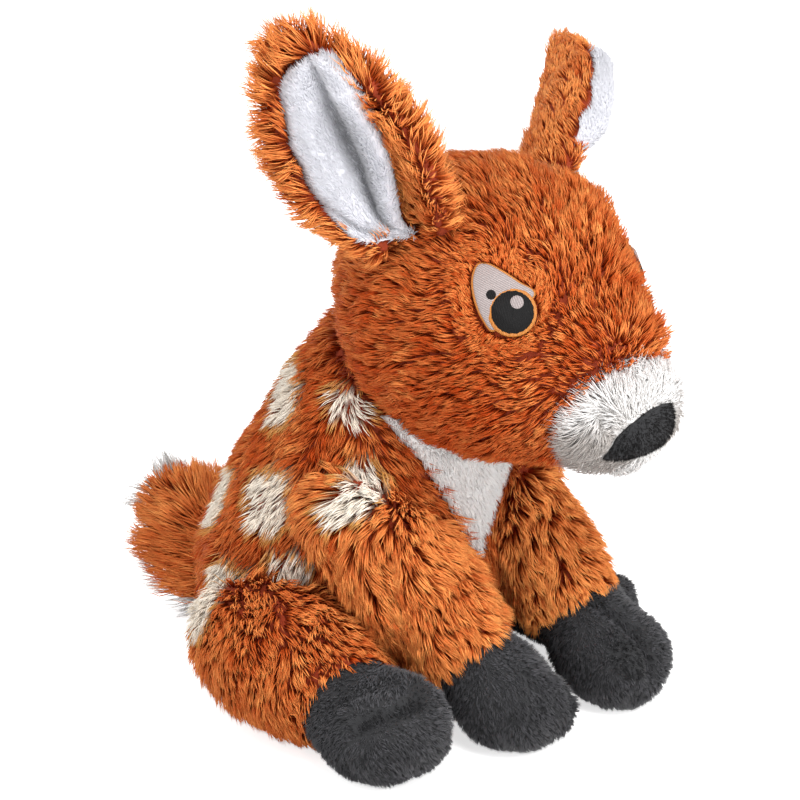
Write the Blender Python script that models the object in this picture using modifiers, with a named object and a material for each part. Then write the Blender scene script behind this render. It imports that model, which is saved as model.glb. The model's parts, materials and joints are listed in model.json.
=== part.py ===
"""A seated plush fawn, built as the sewn toy is: stuffed covers, hooves, ears, tail and stitched eyes.

Metres, +Z up. The fawn faces -Y with its right side at -X. The origin is the middle of its seat.
"""

from math import atan2, cos, pi, radians, sin

import bmesh
import bpy
from mathutils import Matrix, Vector
from mathutils.bvhtree import BVHTree

# Cloth, seams and the gaps that neighbours keep
LONG_PILE_WALL = 0.0030
SEAM_GAP = 0.0003
SWING_GAP = 0.0009
PRESSED_FLAT = 0.0005
CUT_OVERRUN = 0.010
WELD = 0.00001

# Torso: a pear that leans forward to the neck
TORSO_WIDTH = 0.134
TORSO_DEPTH = 0.130
TORSO_HEIGHT = 0.176
NECK_FORWARD = 0.036
# height, width, depth and forward lean of each ring of the cage
TORSO_RING_SHARES = (
    (0.02, 0.62, 0.62, 0.00),
    (0.12, 0.99, 0.99, 0.00),
    (0.29, 1.06, 1.06, 0.04),
    (0.47, 0.97, 0.94, 0.24),
    (0.64, 0.84, 0.82, 0.54),
    (0.80, 0.70, 0.68, 0.84),
    (0.94, 0.46, 0.46, 1.00),
)

# Chest bib: a white triangle set into the torso cover
BIB_WIDTH = 0.078
BIB_TOP = 0.130
BIB_TIP = 0.062

# Head: a round ball that narrows to the snout, pitched down
HEAD_WIDTH = 0.115
HEAD_TALL = 0.115
HEAD_LENGTH = 0.139
HEAD_FORWARD = 0.066
HEAD_UP = 0.171
HEAD_PITCH = radians(22)
HEAD_BACK_SHARE = 0.43
SNOUT_DROP = 0.004
# place along the head from its back, half width, half height and drop of each ring of the cage
HEAD_RING_SHARES = (
    (0.03, 0.38, 0.38, 0.00),
    (0.15, 0.78, 0.78, 0.00),
    (0.32, 1.03, 1.03, 0.00),
    (0.50, 1.05, 1.05, 0.00),
    (0.67, 0.95, 0.93, 0.20),
    (0.82, 0.72, 0.66, 0.70),
    (0.94, 0.50, 0.42, 1.00),
)
NECK_HOLE_RADIUS = 0.018
HEAD_TURN = radians(15)

# Muzzle: a white stuffed lobe on the snout, with the nose set on its front
MUZZLE_WIDTH = 0.060
MUZZLE_TALL = 0.046
MUZZLE_LENGTH = 0.048
MUZZLE_SET_BACK = 0.010
MUZZLE_RING_SHARES = ((0.06, 0.45), (0.28, 0.92), (0.52, 1.08), (0.76, 0.90), (0.94, 0.45))
NOSE_WIDTH = 0.035
NOSE_TALL = 0.021
NOSE_CLOTH = 0.0018
NOSE_RAISE = 0.003
NOSE_TOP_SHARE = 0.22

# Eyes: satin stitch, laid on the head cover
EYE_YAW = radians(41)
EYE_RISE = radians(12)
EYE_THREAD = 0.0014
PUPIL_RADIUS = 0.0079
# the white's outline about the middle of the pupil, backwards and up, in pupil radii
EYE_WHITE_SHARES = (
    (0.30, -0.30),
    (0.95, -0.95),
    (1.48, -0.30),
    (1.82, 0.50),
    (1.96, 1.30),
    (1.90, 2.00),
    (1.62, 2.38),
    (1.10, 2.38),
    (0.40, 2.20),
    (-0.35, 1.74),
    (-1.05, 1.00),
)
RING_WIDTH = 0.0010
HIGHLIGHT_RADIUS = 0.0024
HIGHLIGHT_UP = 0.0038
CORNER_DOT_RADIUS = 0.0018
CORNER_DOT_BACK = 0.0108

# Ears: cupped leaves of long pile with a short pile lining
EAR_LENGTH = 0.088
EAR_WIDTH = 0.055
EAR_BACK_CLOTH = 0.0060
EAR_LINING_CLOTH = 0.0022
EAR_RIM = 0.005
EAR_SEAT_YAW = radians(92)
EAR_SEAT_RISE = radians(44)
RIGHT_EAR_SPREAD = radians(30)
LEFT_EAR_SPREAD = radians(62)
RIGHT_EAR_LEAN_BACK = radians(16)
LEFT_EAR_LEAN_BACK = radians(27)
EAR_FACE_YAW = radians(62)
EAR_ROOT = 0.008
EAR_FOLD_OUT = radians(18)
EAR_FOLD_IN = radians(12)
# place along the ear, half width and half arc of the cup
EAR_RING_SHARES = (
    (0.00, 0.40, 1.00),
    (0.12, 0.66, 0.92),
    (0.26, 0.88, 0.78),
    (0.42, 1.00, 0.66),
    (0.58, 0.96, 0.56),
    (0.74, 0.78, 0.48),
    (0.88, 0.50, 0.42),
    (1.00, 0.12, 0.40),
)
EAR_CUP = radians(100)
EAR_COLUMNS = 6

# Forelegs: from the shoulder, which keeps its share of the torso's width, forward and down to the hoof
RIGHT_SHOULDER_OUT_SHARE = 0.3284
LEFT_SHOULDER_OUT_SHARE = 0.2761
SHOULDER_FORWARD = 0.036
SHOULDER_UP = 0.098
FORELEG_RADIUS = 0.0245
FORELEG_WRIST_RADIUS = 0.0215
RIGHT_FOREHOOF_OUT = 0.0215
RIGHT_FOREHOOF_FORWARD = 0.099
LEFT_FOREHOOF_OUT = 0.0335
LEFT_FOREHOOF_FORWARD = 0.107
FORELEG_LIFT = radians(20)
FORELEG_ROOT_SHARE = 0.8
WRIST_SHARE = 0.23
TOE_DROP_SHARE = 0.06
# span of the leg, place along the span, the radius it is a share of, half width and half height of each ring
FORELEG_RING_SHARES = (
    ("root", 0.30, "thick", 0.72, 0.72),
    ("root", 1.00, "thick", 1.05, 1.05),
    ("shank", 0.62, "thick", 0.96, 0.96),
    ("shank", 1.00, "thin", 0.92, 0.88),
    ("hoof", 0.35, "hoof", 0.98, 1.00),
    ("hoof", 1.00, "hoof", 1.08, 1.06),
    ("toe", 0.62, "hoof", 0.80, 0.74),
)

# Hind legs: a round thigh that rests beside the seat, then forward to the hoof
HIP_OUT_SHARE = 0.4328
RIGHT_HIP_FORWARD = 0.008
LEFT_HIP_FORWARD = -0.010
HIP_UP_SHARE = 1.0660
THIGH_RADIUS = 0.034
HINDLEG_ANKLE_RADIUS = 0.024
HINDLEG_LENGTH = 0.075
RIGHT_HINDLEG_TURN = radians(15)
LEFT_HINDLEG_TURN = radians(5)
HINDLEG_SPLAY = radians(12)
ANKLE_SHARE = 0.72
# span of the leg, place along the span, the radius it is a share of, half width and half height of each ring
HINDLEG_RING_SHARES = (
    ("root", 0.25, "thick", 0.76, 0.76),
    ("shank", 0.06, "thick", 1.09, 1.09),
    ("shank", 0.62, "thick", 0.90, 0.90),
    ("shank", 1.00, "thin", 0.94, 0.88),
    ("hoof", 0.35, "hoof", 1.00, 1.00),
    ("hoof", 1.00, "hoof", 1.12, 1.06),
    ("toe", 0.62, "hoof", 0.84, 0.76),
)

# Hooves: mitts of short black pile with a sole of their own
HOOF_WIDTH = 0.050
HOOF_TALL = 0.044
HOOF_LENGTH = 0.054
SOLE_THICKNESS = 0.0022

# Tail: a two-faced leaf
TAIL_LENGTH = 0.062
TAIL_WIDTH = 0.052
TAIL_THICKNESS = 0.013
TAIL_UP = 0.019
TAIL_RISE = radians(24)
TAIL_ROLL = radians(50)
TAIL_ROOT = 0.010
TAIL_LIFT = radians(20)
TAIL_DROP = radians(6)
TAIL_RING_SHARES = ((0.05, 0.54), (0.32, 1.00), (0.62, 1.05), (0.90, 0.54))

# Points around a cage, a cylinder and a stitched circle, and how finely a cage is smoothed
# a large and a small form each have these points outside and inside their cloth
LARGE_POINTS = (10, 6)
SMALL_POINTS = (8, 5)
NOSE_SEGMENTS = 10
CYLINDER_SEGMENTS = 24
STITCH_SEGMENTS = 20
SMOOTHING = 1
EDGE_ANGLE = radians(40)

# Finish of each cloth: colour, roughness, metallic
FINISHES = {
    "rust_pile": ((0.49, 0.11, 0.016), 0.95, 0.0),
    "white_pile": ((0.80, 0.79, 0.78), 0.95, 0.0),
    "black_pile": ((0.028, 0.028, 0.031), 0.9, 0.0),
    "nose_pile": ((0.020, 0.016, 0.013), 0.9, 0.0),
    "fibre_filling": ((0.86, 0.86, 0.84), 1.0, 0.0),
    "white_thread": ((0.66, 0.62, 0.63), 0.45, 0.0),
    "black_thread": ((0.014, 0.014, 0.014), 0.4, 0.0),
    "amber_thread": ((0.58, 0.24, 0.04), 0.4, 0.0),
}


def start_clean():
    """Removes the objects that the file opened with and makes the two collections."""
    for old in list(bpy.data.objects):
        bpy.data.objects.remove(old, do_unlink=True)
    made = []
    for name in ("plush_fawn", "cutters"):
        collection = bpy.data.collections.new(name)
        bpy.context.scene.collection.children.link(collection)
        made.append(collection)
    return made


def finish(name):
    """The Principled material of one cloth, made once."""
    found = bpy.data.materials.get(name)
    if found:
        return found
    colour, roughness, metallic = FINISHES[name]
    material = bpy.data.materials.new(name)
    material.use_nodes = True
    shader = material.node_tree.nodes["Principled BSDF"]
    shader.inputs["Base Color"].default_value = (*colour, 1.0)
    shader.inputs["Roughness"].default_value = roughness
    shader.inputs["Metallic"].default_value = metallic
    return material


def frame_of(axis, side):
    """Side, front and axis as unit vectors at right angles, the front following from the other two."""
    axis = axis.normalized()
    side = (side - axis * side.dot(axis)).normalized()
    return side, axis.cross(side), axis


def station(centre, axis, side, across, deep):
    """One ring of a form: its centre, its frame and its two radii."""
    return centre, *frame_of(axis, side), across, deep


def fullness(segments):
    """How much of its radius a ring of this many points keeps when it is smoothed."""
    turn = 2 * pi / segments
    return ((3 + cos(turn)) / 4 + cos(turn / 2)) / 2


def cage_mesh(name, stations, first_pole, last_pole, segments, swell, spread):
    """A sphere primitive whose rings are moved to the stations, swollen and spread."""
    bm = bmesh.new()
    bmesh.ops.create_uvsphere(bm, u_segments=segments, v_segments=len(stations) + 1, radius=1)
    levels = sorted({round(v.co.z, 5) for v in bm.verts})
    for v in bm.verts:
        level = levels.index(round(v.co.z, 5))
        if level == 0:
            v.co = first_pole - stations[0][3] * swell
        elif level == len(levels) - 1:
            v.co = last_pole + stations[-1][3] * swell
        else:
            centre, side, front, _, across, deep = stations[level - 1]
            turn = atan2(v.co.y, v.co.x)
            width = side * cos(turn) * (across + swell)
            depth = front * sin(turn) * (deep + swell)
            v.co = centre + (width + depth) * spread
    mesh = bpy.data.meshes.new(name)
    bm.to_mesh(mesh)
    bm.free()
    return mesh


def evaluated(obj):
    """The object's mesh in world space, with its modifiers applied."""
    bpy.context.view_layer.update()
    depsgraph = bpy.context.evaluated_depsgraph_get()
    mesh = bpy.data.meshes.new_from_object(obj.evaluated_get(depsgraph))
    mesh.transform(obj.matrix_world)
    return mesh


class Form:
    """A stuffed form: the stations of its cage, from which its cover, cavity and clearances are all made."""

    def __init__(self, name, stations, first_pole, last_pole, segments):
        self.name = name
        self.stations = stations
        self.poles = (first_pole, last_pole)
        self.segments = segments

    def mesh(self, swell):
        """The smoothed form, swollen by a length that is negative for what lies inside the cloth.

        Inside the cloth a ring has fewer points and is spread, so that it keeps the size of the full
        one. Every mesh is split into triangles alike, so that the gap between two of them is even.
        """
        outer, inner = self.segments
        points = inner if swell < 0 else outer
        spread = fullness(outer) / fullness(points)
        cage = cage_mesh(self.name + "_cage", self.stations, *self.poles, points, swell, spread)
        holder = bpy.data.objects.new(self.name + "_holder", cage)
        bpy.context.scene.collection.objects.link(holder)
        smooth = holder.modifiers.new("smooth", "SUBSURF")
        smooth.levels = SMOOTHING
        smooth.render_levels = SMOOTHING
        flat = holder.modifiers.new("flat", "TRIANGULATE")
        flat.quad_method = "FIXED"
        mesh = evaluated(holder)
        bpy.data.objects.remove(holder, do_unlink=True)
        return mesh

    def shifted(self, offset):
        """The same form moved by an offset."""
        moved = [(s[0] + offset, *s[1:]) for s in self.stations]
        return Form(self.name, moved, self.poles[0] + offset, self.poles[1] + offset, self.segments)

    def pressed_on_floor(self):
        """The form lowered or raised so that its lowest point is pressed just below the floor."""
        lowest = min(v.co.z for v in self.mesh(0).vertices)
        return self.shifted(Vector((0, 0, -PRESSED_FLAT - lowest)))

    def surface_towards(self, start, direction):
        """Where a ray from inside the form leaves it, and the outward normal there."""
        bm = bmesh.new()
        bm.from_mesh(self.mesh(0))
        tree = BVHTree.FromBMesh(bm)
        place, normal, _, _ = tree.ray_cast(start, direction)
        bm.free()
        return place, normal


def box_mesh(name, low, high):
    """A box primitive between two corners."""
    bm = bmesh.new()
    bmesh.ops.create_cube(bm, size=1)
    for v in bm.verts:
        v.co = Vector([low[i] + (v.co[i] + 0.5) * (high[i] - low[i]) for i in range(3)])
    mesh = bpy.data.meshes.new(name)
    bm.to_mesh(mesh)
    bm.free()
    return mesh


def floor_mesh():
    """A slab below the floor, wider than the toy."""
    reach = HEAD_FORWARD + HEAD_LENGTH + TORSO_DEPTH
    return box_mesh("floor", (-reach, -reach, -CUT_OVERRUN), (reach, reach, 0))


class Toy:
    """Collects the pieces and the cutters, and gives each piece its material."""

    def __init__(self):
        self.parts, self.cutters = start_clean()
        self.floor = self.cutter("floor", floor_mesh())

    def piece(self, name, mesh, cloth, pivot=None):
        """One named sub-part, with its origin on its joint where it has one."""
        obj = bpy.data.objects.new(name, mesh)
        self.parts.objects.link(obj)
        if pivot is not None:
            mesh.transform(Matrix.Translation(-pivot))
            obj.location = pivot
        mesh.materials.clear()
        mesh.materials.append(finish(cloth))
        mesh.shade_smooth()
        mesh.set_sharp_from_angle(angle=EDGE_ANGLE)
        return obj

    def cutter(self, name, mesh):
        """A wire object that only cuts or bounds others."""
        obj = bpy.data.objects.new(name, mesh)
        self.cutters.objects.link(obj)
        obj.hide_render = True
        obj.display_type = "WIRE"
        return obj


def boolean(obj, cutter, operation="DIFFERENCE", solver="EXACT"):
    """Cuts an object by a cutter, or keeps what they share."""
    cut = obj.modifiers.new(cutter.name, "BOOLEAN")
    cut.operation = operation
    cut.object = cutter
    cut.solver = solver


def turned(mesh, pivot, axis, angle):
    """Turns a mesh about an axis through a pivot."""
    turn = Matrix.Rotation(angle, 4, axis)
    mesh.transform(Matrix.Translation(pivot) @ turn @ Matrix.Translation(-pivot))
    return mesh


def swept_space(toy, name, form, pivot, axis, angles):
    """Cutters where a form stands, seen from a neighbour that swings about the pivot through these angles."""
    cutters = []
    for number, angle in enumerate(angles):
        mesh = turned(form.mesh(SWING_GAP), pivot, axis, -angle)
        cutters.append(toy.cutter(f"{name}_{number}", mesh))
    return cutters


def clear(obj, cutters):
    """Cuts an object by each cutter in turn, where the cutters nearly touch each other."""
    for cutter in cutters:
        boolean(obj, cutter, solver="MANIFOLD")


def cylinder_mesh(name, start, axis, radius, depth):
    """A cylinder primitive that runs from a start along an axis."""
    bm = bmesh.new()
    segments = CYLINDER_SEGMENTS
    bmesh.ops.create_cone(bm, cap_ends=True, segments=segments, radius1=radius, radius2=radius, depth=depth)
    mesh = bpy.data.meshes.new(name)
    bm.to_mesh(mesh)
    bm.free()
    turn = Vector((0, 0, 1)).rotation_difference(axis).to_matrix().to_4x4()
    mesh.transform(Matrix.Translation(start + axis.normalized() * depth / 2) @ turn)
    return mesh


def prism_mesh(name, outline, depth, place):
    """A flat outline as a filled 2D curve, extruded along its normal and then placed."""
    curve = bpy.data.curves.new(name, "CURVE")
    curve.dimensions = "2D"
    curve.fill_mode = "BOTH"
    curve.extrude = depth / 2
    spline = curve.splines.new("POLY")
    spline.points.add(len(outline) - 1)
    for point, (x, y) in zip(spline.points, outline):
        point.co = (x, y, 0, 1)
    spline.use_cyclic_u = True
    holder = bpy.data.objects.new(name + "_holder", curve)
    bpy.context.scene.collection.objects.link(holder)
    mesh = evaluated(holder)
    bpy.data.objects.remove(holder, do_unlink=True)
    bm = bmesh.new()
    bm.from_mesh(mesh)
    bmesh.ops.remove_doubles(bm, verts=bm.verts, dist=WELD)
    bmesh.ops.translate(bm, verts=bm.verts, vec=(0, 0, depth / 2))
    bmesh.ops.recalc_face_normals(bm, faces=bm.faces)
    bm.to_mesh(mesh)
    bm.free()
    mesh.transform(place)
    return mesh


def place_along(origin, side, up, normal):
    """The matrix that takes X, Y and Z to side, up and normal at an origin."""
    turn = Matrix((side, up, normal)).transposed().to_4x4()
    return Matrix.Translation(origin) @ turn


def torso_form():
    stations = []
    for up, width, depth, lean in TORSO_RING_SHARES:
        centre = Vector((0, -NECK_FORWARD * lean, TORSO_HEIGHT * up))
        across = TORSO_WIDTH / 2 * width
        deep = TORSO_DEPTH / 2 * depth
        stations.append(station(centre, Vector((0, 0, 1)), Vector((1, 0, 0)), across, deep))
    top = Vector((0, -NECK_FORWARD, TORSO_HEIGHT))
    return Form("torso", stations, Vector((0, 0, 0)), top, LARGE_POINTS).pressed_on_floor()


def head_frame():
    """The head's centre and its forward and upward directions."""
    forward = Vector((0, -cos(HEAD_PITCH), -sin(HEAD_PITCH)))
    up = Vector((0, -sin(HEAD_PITCH), cos(HEAD_PITCH)))
    return Vector((0, -HEAD_FORWARD, HEAD_UP)), forward, up


def head_form():
    centre, forward, up = head_frame()
    back = centre - forward * HEAD_LENGTH * HEAD_BACK_SHARE
    stations = []
    for along, width, tall, drop in HEAD_RING_SHARES:
        middle = back + forward * HEAD_LENGTH * along - up * SNOUT_DROP * drop
        across = HEAD_WIDTH / 2 * width
        stations.append(station(middle, forward, Vector((1, 0, 0)), across, HEAD_TALL / 2 * tall))
    tip = back + forward * HEAD_LENGTH - up * SNOUT_DROP
    return Form("head", stations, back, tip, LARGE_POINTS)


def muzzle_frame():
    """The back of the muzzle and the direction in which it points."""
    centre, forward, up = head_frame()
    snout_end = centre + forward * HEAD_LENGTH * (1 - HEAD_BACK_SHARE) - up * SNOUT_DROP
    return snout_end - forward * (MUZZLE_LENGTH / 2 + MUZZLE_SET_BACK), forward, up


def muzzle_form():
    back, forward, _ = muzzle_frame()
    stations = []
    for along, swell in MUZZLE_RING_SHARES:
        middle = back + forward * MUZZLE_LENGTH * along
        across = MUZZLE_WIDTH / 2 * swell
        stations.append(station(middle, forward, Vector((1, 0, 0)), across, MUZZLE_TALL / 2 * swell))
    return Form("muzzle", stations, back, back + forward * MUZZLE_LENGTH, SMALL_POINTS)


def build_torso(toy, torso, head):
    centre, _, _ = head_frame()
    turns = (0, -HEAD_TURN, HEAD_TURN)
    head_space = swept_space(toy, "head_space", head, centre, Vector((0, 0, 1)), turns)
    cavity = toy.cutter("torso_cavity", torso.mesh(-LONG_PILE_WALL))
    cover = toy.piece("torso_cover", torso.mesh(0), "rust_pile")
    inside = torso.mesh(-LONG_PILE_WALL - SEAM_GAP)
    filling = toy.piece("torso_filling", inside, "fibre_filling")
    bib = toy.piece("chest_bib", torso.mesh(0), "white_pile")
    boolean(cover, cavity)
    boolean(cover, toy.floor)
    boolean(cover, toy.cutter("bib_window", bib_mesh("bib_window", SEAM_GAP)))
    boolean(bib, cavity)
    boolean(bib, toy.cutter("bib_outline", bib_mesh("bib_outline", 0)), "INTERSECT")
    for obj in (cover, bib, filling):
        clear(obj, head_space)


def bib_mesh(name, grown):
    """The bib's triangle as a prism through the front of the torso, grown by a length."""
    half = BIB_WIDTH / 2 + grown
    top = BIB_TOP + grown
    outline = ((-half, top), (-grown, BIB_TIP - grown), (grown, BIB_TIP - grown), (half, top))
    start = Vector((0, -NECK_FORWARD, 0))
    place = place_along(start, Vector((1, 0, 0)), Vector((0, 0, 1)), Vector((0, -1, 0)))
    return prism_mesh(name, outline, TORSO_DEPTH, place)


def build_head(toy, head):
    centre, _, _ = head_frame()
    neck = Vector((0, -NECK_FORWARD, TORSO_HEIGHT / 2)) - centre
    cavity = toy.cutter("head_cavity", head.mesh(-LONG_PILE_WALL))
    hole = toy.cutter("neck_hole", cylinder_mesh("neck_hole", centre, neck, NECK_HOLE_RADIUS, HEAD_TALL))
    cover = toy.piece("head_cover", head.mesh(0), "rust_pile", centre)
    boolean(cover, cavity)
    boolean(cover, hole)
    toy.piece("head_filling", head.mesh(-LONG_PILE_WALL - SEAM_GAP), "fibre_filling", centre)


def build_muzzle(toy, muzzle, head):
    centre, _, _ = head_frame()
    head_gap = toy.cutter("head_at_muzzle", head.mesh(SEAM_GAP))
    cover = toy.piece("muzzle_cover", muzzle.mesh(0), "white_pile", centre)
    inside = muzzle.mesh(-LONG_PILE_WALL - SEAM_GAP)
    filling = toy.piece("muzzle_filling", inside, "fibre_filling", centre)
    boolean(cover, toy.cutter("muzzle_cavity", muzzle.mesh(-LONG_PILE_WALL)))
    boolean(cover, head_gap)
    boolean(filling, head_gap)
    nose = toy.piece("nose_pad", muzzle.mesh(SEAM_GAP + NOSE_CLOTH), "nose_pile", centre)
    boolean(nose, toy.cutter("muzzle_at_nose", muzzle.mesh(SEAM_GAP)))
    boolean(nose, toy.cutter("nose_outline", nose_mesh()), "INTERSECT")


def nose_mesh():
    """The nose's rounded triangle, wide at the top, as a prism from inside the muzzle."""
    back, forward, up = muzzle_frame()
    middle = back + forward * MUZZLE_LENGTH / 2 + up * NOSE_RAISE
    outline = []
    for k in range(NOSE_SEGMENTS):
        turn = 2 * pi * k / NOSE_SEGMENTS
        half = NOSE_WIDTH / 2 * (1 + NOSE_TOP_SHARE * sin(turn))
        outline.append((half * cos(turn), NOSE_TALL / 2 * sin(turn)))
    place = place_along(middle, Vector((1, 0, 0)), up, forward)
    return prism_mesh("nose_outline", outline, MUZZLE_LENGTH, place)


def circle(radius, centre=(0.0, 0.0)):
    turns = [2 * pi * k / STITCH_SEGMENTS for k in range(STITCH_SEGMENTS)]
    return [(centre[0] + radius * cos(turn), centre[1] + radius * sin(turn)) for turn in turns]


def direction_of(mirror, yaw, rise):
    """A direction out of the head: yaw from the front towards one side, rise above the level."""
    return Vector((mirror * sin(yaw) * cos(rise), -cos(yaw) * cos(rise), sin(rise)))


def build_eye(toy, side_name, mirror, head):
    """The stitched areas of one eye, each a thin patch that follows the head."""
    centre, _, _ = head_frame()
    direction = direction_of(mirror, EYE_YAW, EYE_RISE)
    up = Vector((0, 0, 1)) - direction * direction.z
    up.normalize()
    back = up.cross(direction) * mirror
    place = place_along(centre + direction * HEAD_WIDTH / 4, back * mirror, up, direction)

    def prism(name, outline):
        return toy.cutter(name, prism_mesh(name, outline, HEAD_LENGTH, place))

    under = toy.cutter(side_name + "_eye_under", head.mesh(SEAM_GAP))
    ring_outer = PUPIL_RADIUS + SEAM_GAP + RING_WIDTH
    dot_place = (mirror * CORNER_DOT_BACK, PUPIL_RADIUS)
    highlight_place = (0.0, HIGHLIGHT_UP)
    outlines = {
        "white": [(mirror * x * PUPIL_RADIUS, y * PUPIL_RADIUS) for x, y in EYE_WHITE_SHARES],
        "ring": circle(ring_outer),
        "pupil": circle(PUPIL_RADIUS),
        "highlight": circle(HIGHLIGHT_RADIUS, highlight_place),
        "corner_dot": circle(CORNER_DOT_RADIUS, dot_place),
    }
    holes = {
        "white": (circle(ring_outer + SEAM_GAP), circle(CORNER_DOT_RADIUS + SEAM_GAP, dot_place)),
        "ring": (circle(PUPIL_RADIUS + SEAM_GAP),),
        "pupil": (circle(HIGHLIGHT_RADIUS + SEAM_GAP, highlight_place),),
    }
    threads = {
        "white": "white_thread",
        "ring": "amber_thread",
        "pupil": "black_thread",
        "highlight": "white_thread",
        "corner_dot": "black_thread",
    }
    for area, outline in outlines.items():
        name = f"{side_name}_eye_{area}"
        obj = toy.piece(name, head.mesh(SEAM_GAP + EYE_THREAD), threads[area], centre)
        boolean(obj, prism(name + "_outline", outline), "INTERSECT", "MANIFOLD")
        clear(obj, [prism(f"{name}_hole_{number}", hole) for number, hole in enumerate(holes.get(area, ()))])
        clear(obj, [under])


def ear_frame(mirror, spread, lean, head):
    """The ear's seat on the head, its axis, the way it faces and its side."""
    centre, _, _ = head_frame()
    seat, _ = head.surface_towards(centre, direction_of(mirror, EAR_SEAT_YAW, EAR_SEAT_RISE))
    axis = Vector((mirror * sin(spread) * cos(lean), sin(lean), cos(spread) * cos(lean)))
    axis.normalize()
    face = Vector((mirror * sin(EAR_FACE_YAW), -cos(EAR_FACE_YAW), 0))
    face = (face - axis * face.dot(axis)).normalized()
    return seat, axis, face, axis.cross(face)


def ear_cup(width, arc):
    """The radius and the half arc of the cup where the ear has these shares of its width and curl."""
    bend = EAR_CUP * arc
    return EAR_WIDTH / 2 * width / bend, bend


def ear_sheet(name, seat, axis, face, side, lift):
    """The cupped leaf as a grid, lifted off its back by a length."""
    rows = len(EAR_RING_SHARES)
    bm = bmesh.new()
    bmesh.ops.create_grid(bm, x_segments=EAR_COLUMNS, y_segments=rows - 1, size=1)
    for v in bm.verts:
        row = round((v.co.y + 1) / 2 * (rows - 1))
        along, width, arc = EAR_RING_SHARES[row]
        radius, bend = ear_cup(width, arc)
        angle = v.co.x * bend
        height = along * (EAR_ROOT + EAR_LENGTH) - EAR_ROOT
        inner = radius - lift
        v.co = seat + axis * height + side * inner * sin(angle) + face * (radius - inner * cos(angle))
    bmesh.ops.triangulate(bm, faces=bm.faces, quad_method="FIXED")
    mesh = bpy.data.meshes.new(name)
    bm.to_mesh(mesh)
    bm.free()
    return mesh


def lining_outline():
    """The leaf that the lining is cut to, one rim inside the ear's edge, as seen from the front."""
    half = []
    for along, width, arc in EAR_RING_SHARES:
        radius, bend = ear_cup(width, arc)
        shown = radius * sin(min(bend, pi / 2))
        height = along * (EAR_ROOT + EAR_LENGTH) - EAR_ROOT
        half.append((max(shown - EAR_RIM, shown / 4), min(height, EAR_LENGTH - EAR_RIM)))
    return half + [(-x, height) for x, height in reversed(half)]


def build_ear(toy, side_name, mirror, spread, lean, head):
    seat, axis, face, side = ear_frame(mirror, spread, lean, head)
    angles = (-EAR_FOLD_IN * mirror, 0, EAR_FOLD_OUT * mirror)
    space = swept_space(toy, side_name + "_ear_seat", head, seat, Vector((0, 1, 0)), angles)
    behind = seat - face * EAR_WIDTH
    leaf = prism_mesh("leaf", lining_outline(), EAR_WIDTH + EAR_LENGTH, place_along(behind, side, axis, face))
    back = toy.piece(side_name + "_ear_back", ear_sheet("ear", seat, axis, face, side, 0), "rust_pile", seat)
    sheet = ear_sheet("lining", seat, axis, face, side, SEAM_GAP)
    lining = toy.piece(side_name + "_ear_lining", sheet, "white_pile", seat)
    for obj, cloth, way in ((back, EAR_BACK_CLOTH, -1), (lining, EAR_LINING_CLOTH, 1)):
        wall = obj.modifiers.new("cloth", "SOLIDIFY")
        wall.thickness = cloth
        wall.offset = way
    boolean(lining, toy.cutter(side_name + "_ear_leaf", leaf), "INTERSECT")
    clear(back, space)
    clear(lining, space)


def limb_form(name, ends, thick, thin, rings, side):
    """A leg from its root through its pivot, seam and hoof to its toe, each ring square to the bent path."""
    root, pivot, seam, hoof, toe = ends
    spans = {"root": (root, pivot), "shank": (pivot, seam), "hoof": (seam, hoof), "toe": (hoof, toe)}
    sizes = {"thick": (thick, thick), "thin": (thin, thin), "hoof": (HOOF_WIDTH / 2, HOOF_TALL / 2)}
    points = [spans[span][0].lerp(spans[span][1], share) for span, share, _, _, _ in rings]
    stations = []
    for number, (_, _, size, width, tall) in enumerate(rings):
        before = points[max(number - 1, 0)]
        after = points[min(number + 1, len(points) - 1)]
        across, deep = sizes[size]
        stations.append(station(points[number], after - before, side, across * width, deep * tall))
    return Form(name, stations, root, toe, SMALL_POINTS).pressed_on_floor()


def foreleg_form(mirror, shoulder_share, hoof_out, hoof_forward):
    """The foreleg with its shoulder, its wrist seam and the direction from the hoof up the leg."""
    shoulder = Vector((mirror * TORSO_WIDTH * shoulder_share, -SHOULDER_FORWARD, SHOULDER_UP))
    hoof = Vector((mirror * hoof_out, -hoof_forward, HOOF_TALL / 2))
    wrist = hoof.lerp(shoulder, WRIST_SHARE)
    toe = hoof - Vector((0, HOOF_LENGTH / 2, HOOF_TALL * TOE_DROP_SHARE))
    root = shoulder + (shoulder - hoof).normalized() * FORELEG_RADIUS * FORELEG_ROOT_SHARE
    ends = (root, shoulder, wrist, hoof, toe)
    thin = FORELEG_WRIST_RADIUS
    form = limb_form("foreleg", ends, FORELEG_RADIUS, thin, FORELEG_RING_SHARES, Vector((1, 0, 0)))
    return form, shoulder, wrist, (wrist - hoof).normalized()


def hindleg_form(mirror, turn, hip_forward):
    """The hind leg with its hip, its ankle seam and the direction from the hoof up the leg."""
    hip = Vector((mirror * TORSO_WIDTH * HIP_OUT_SHARE, -hip_forward, THIGH_RADIUS * HIP_UP_SHARE))
    forward = Vector((mirror * sin(turn), -cos(turn), 0))
    hoof = hip + forward * HINDLEG_LENGTH
    hoof.z = HOOF_TALL / 2
    ankle = hip.lerp(hoof, ANKLE_SHARE)
    ends = (hip - forward * THIGH_RADIUS, hip, ankle, hoof, hoof + forward * HOOF_LENGTH / 2)
    side = forward.cross(Vector((0, 0, 1)))
    form = limb_form("hindleg", ends, THIGH_RADIUS, HINDLEG_ANKLE_RADIUS, HINDLEG_RING_SHARES, side)
    return form, hip, ankle, (ankle - hoof).normalized()


def level_slab(toy, name, low, high):
    """A level slab between two heights, wider than the toy."""
    reach = TORSO_WIDTH + TORSO_HEIGHT + HINDLEG_LENGTH
    return toy.cutter(name, box_mesh(name, (-reach, -reach, low), (reach, reach, high)))


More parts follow.
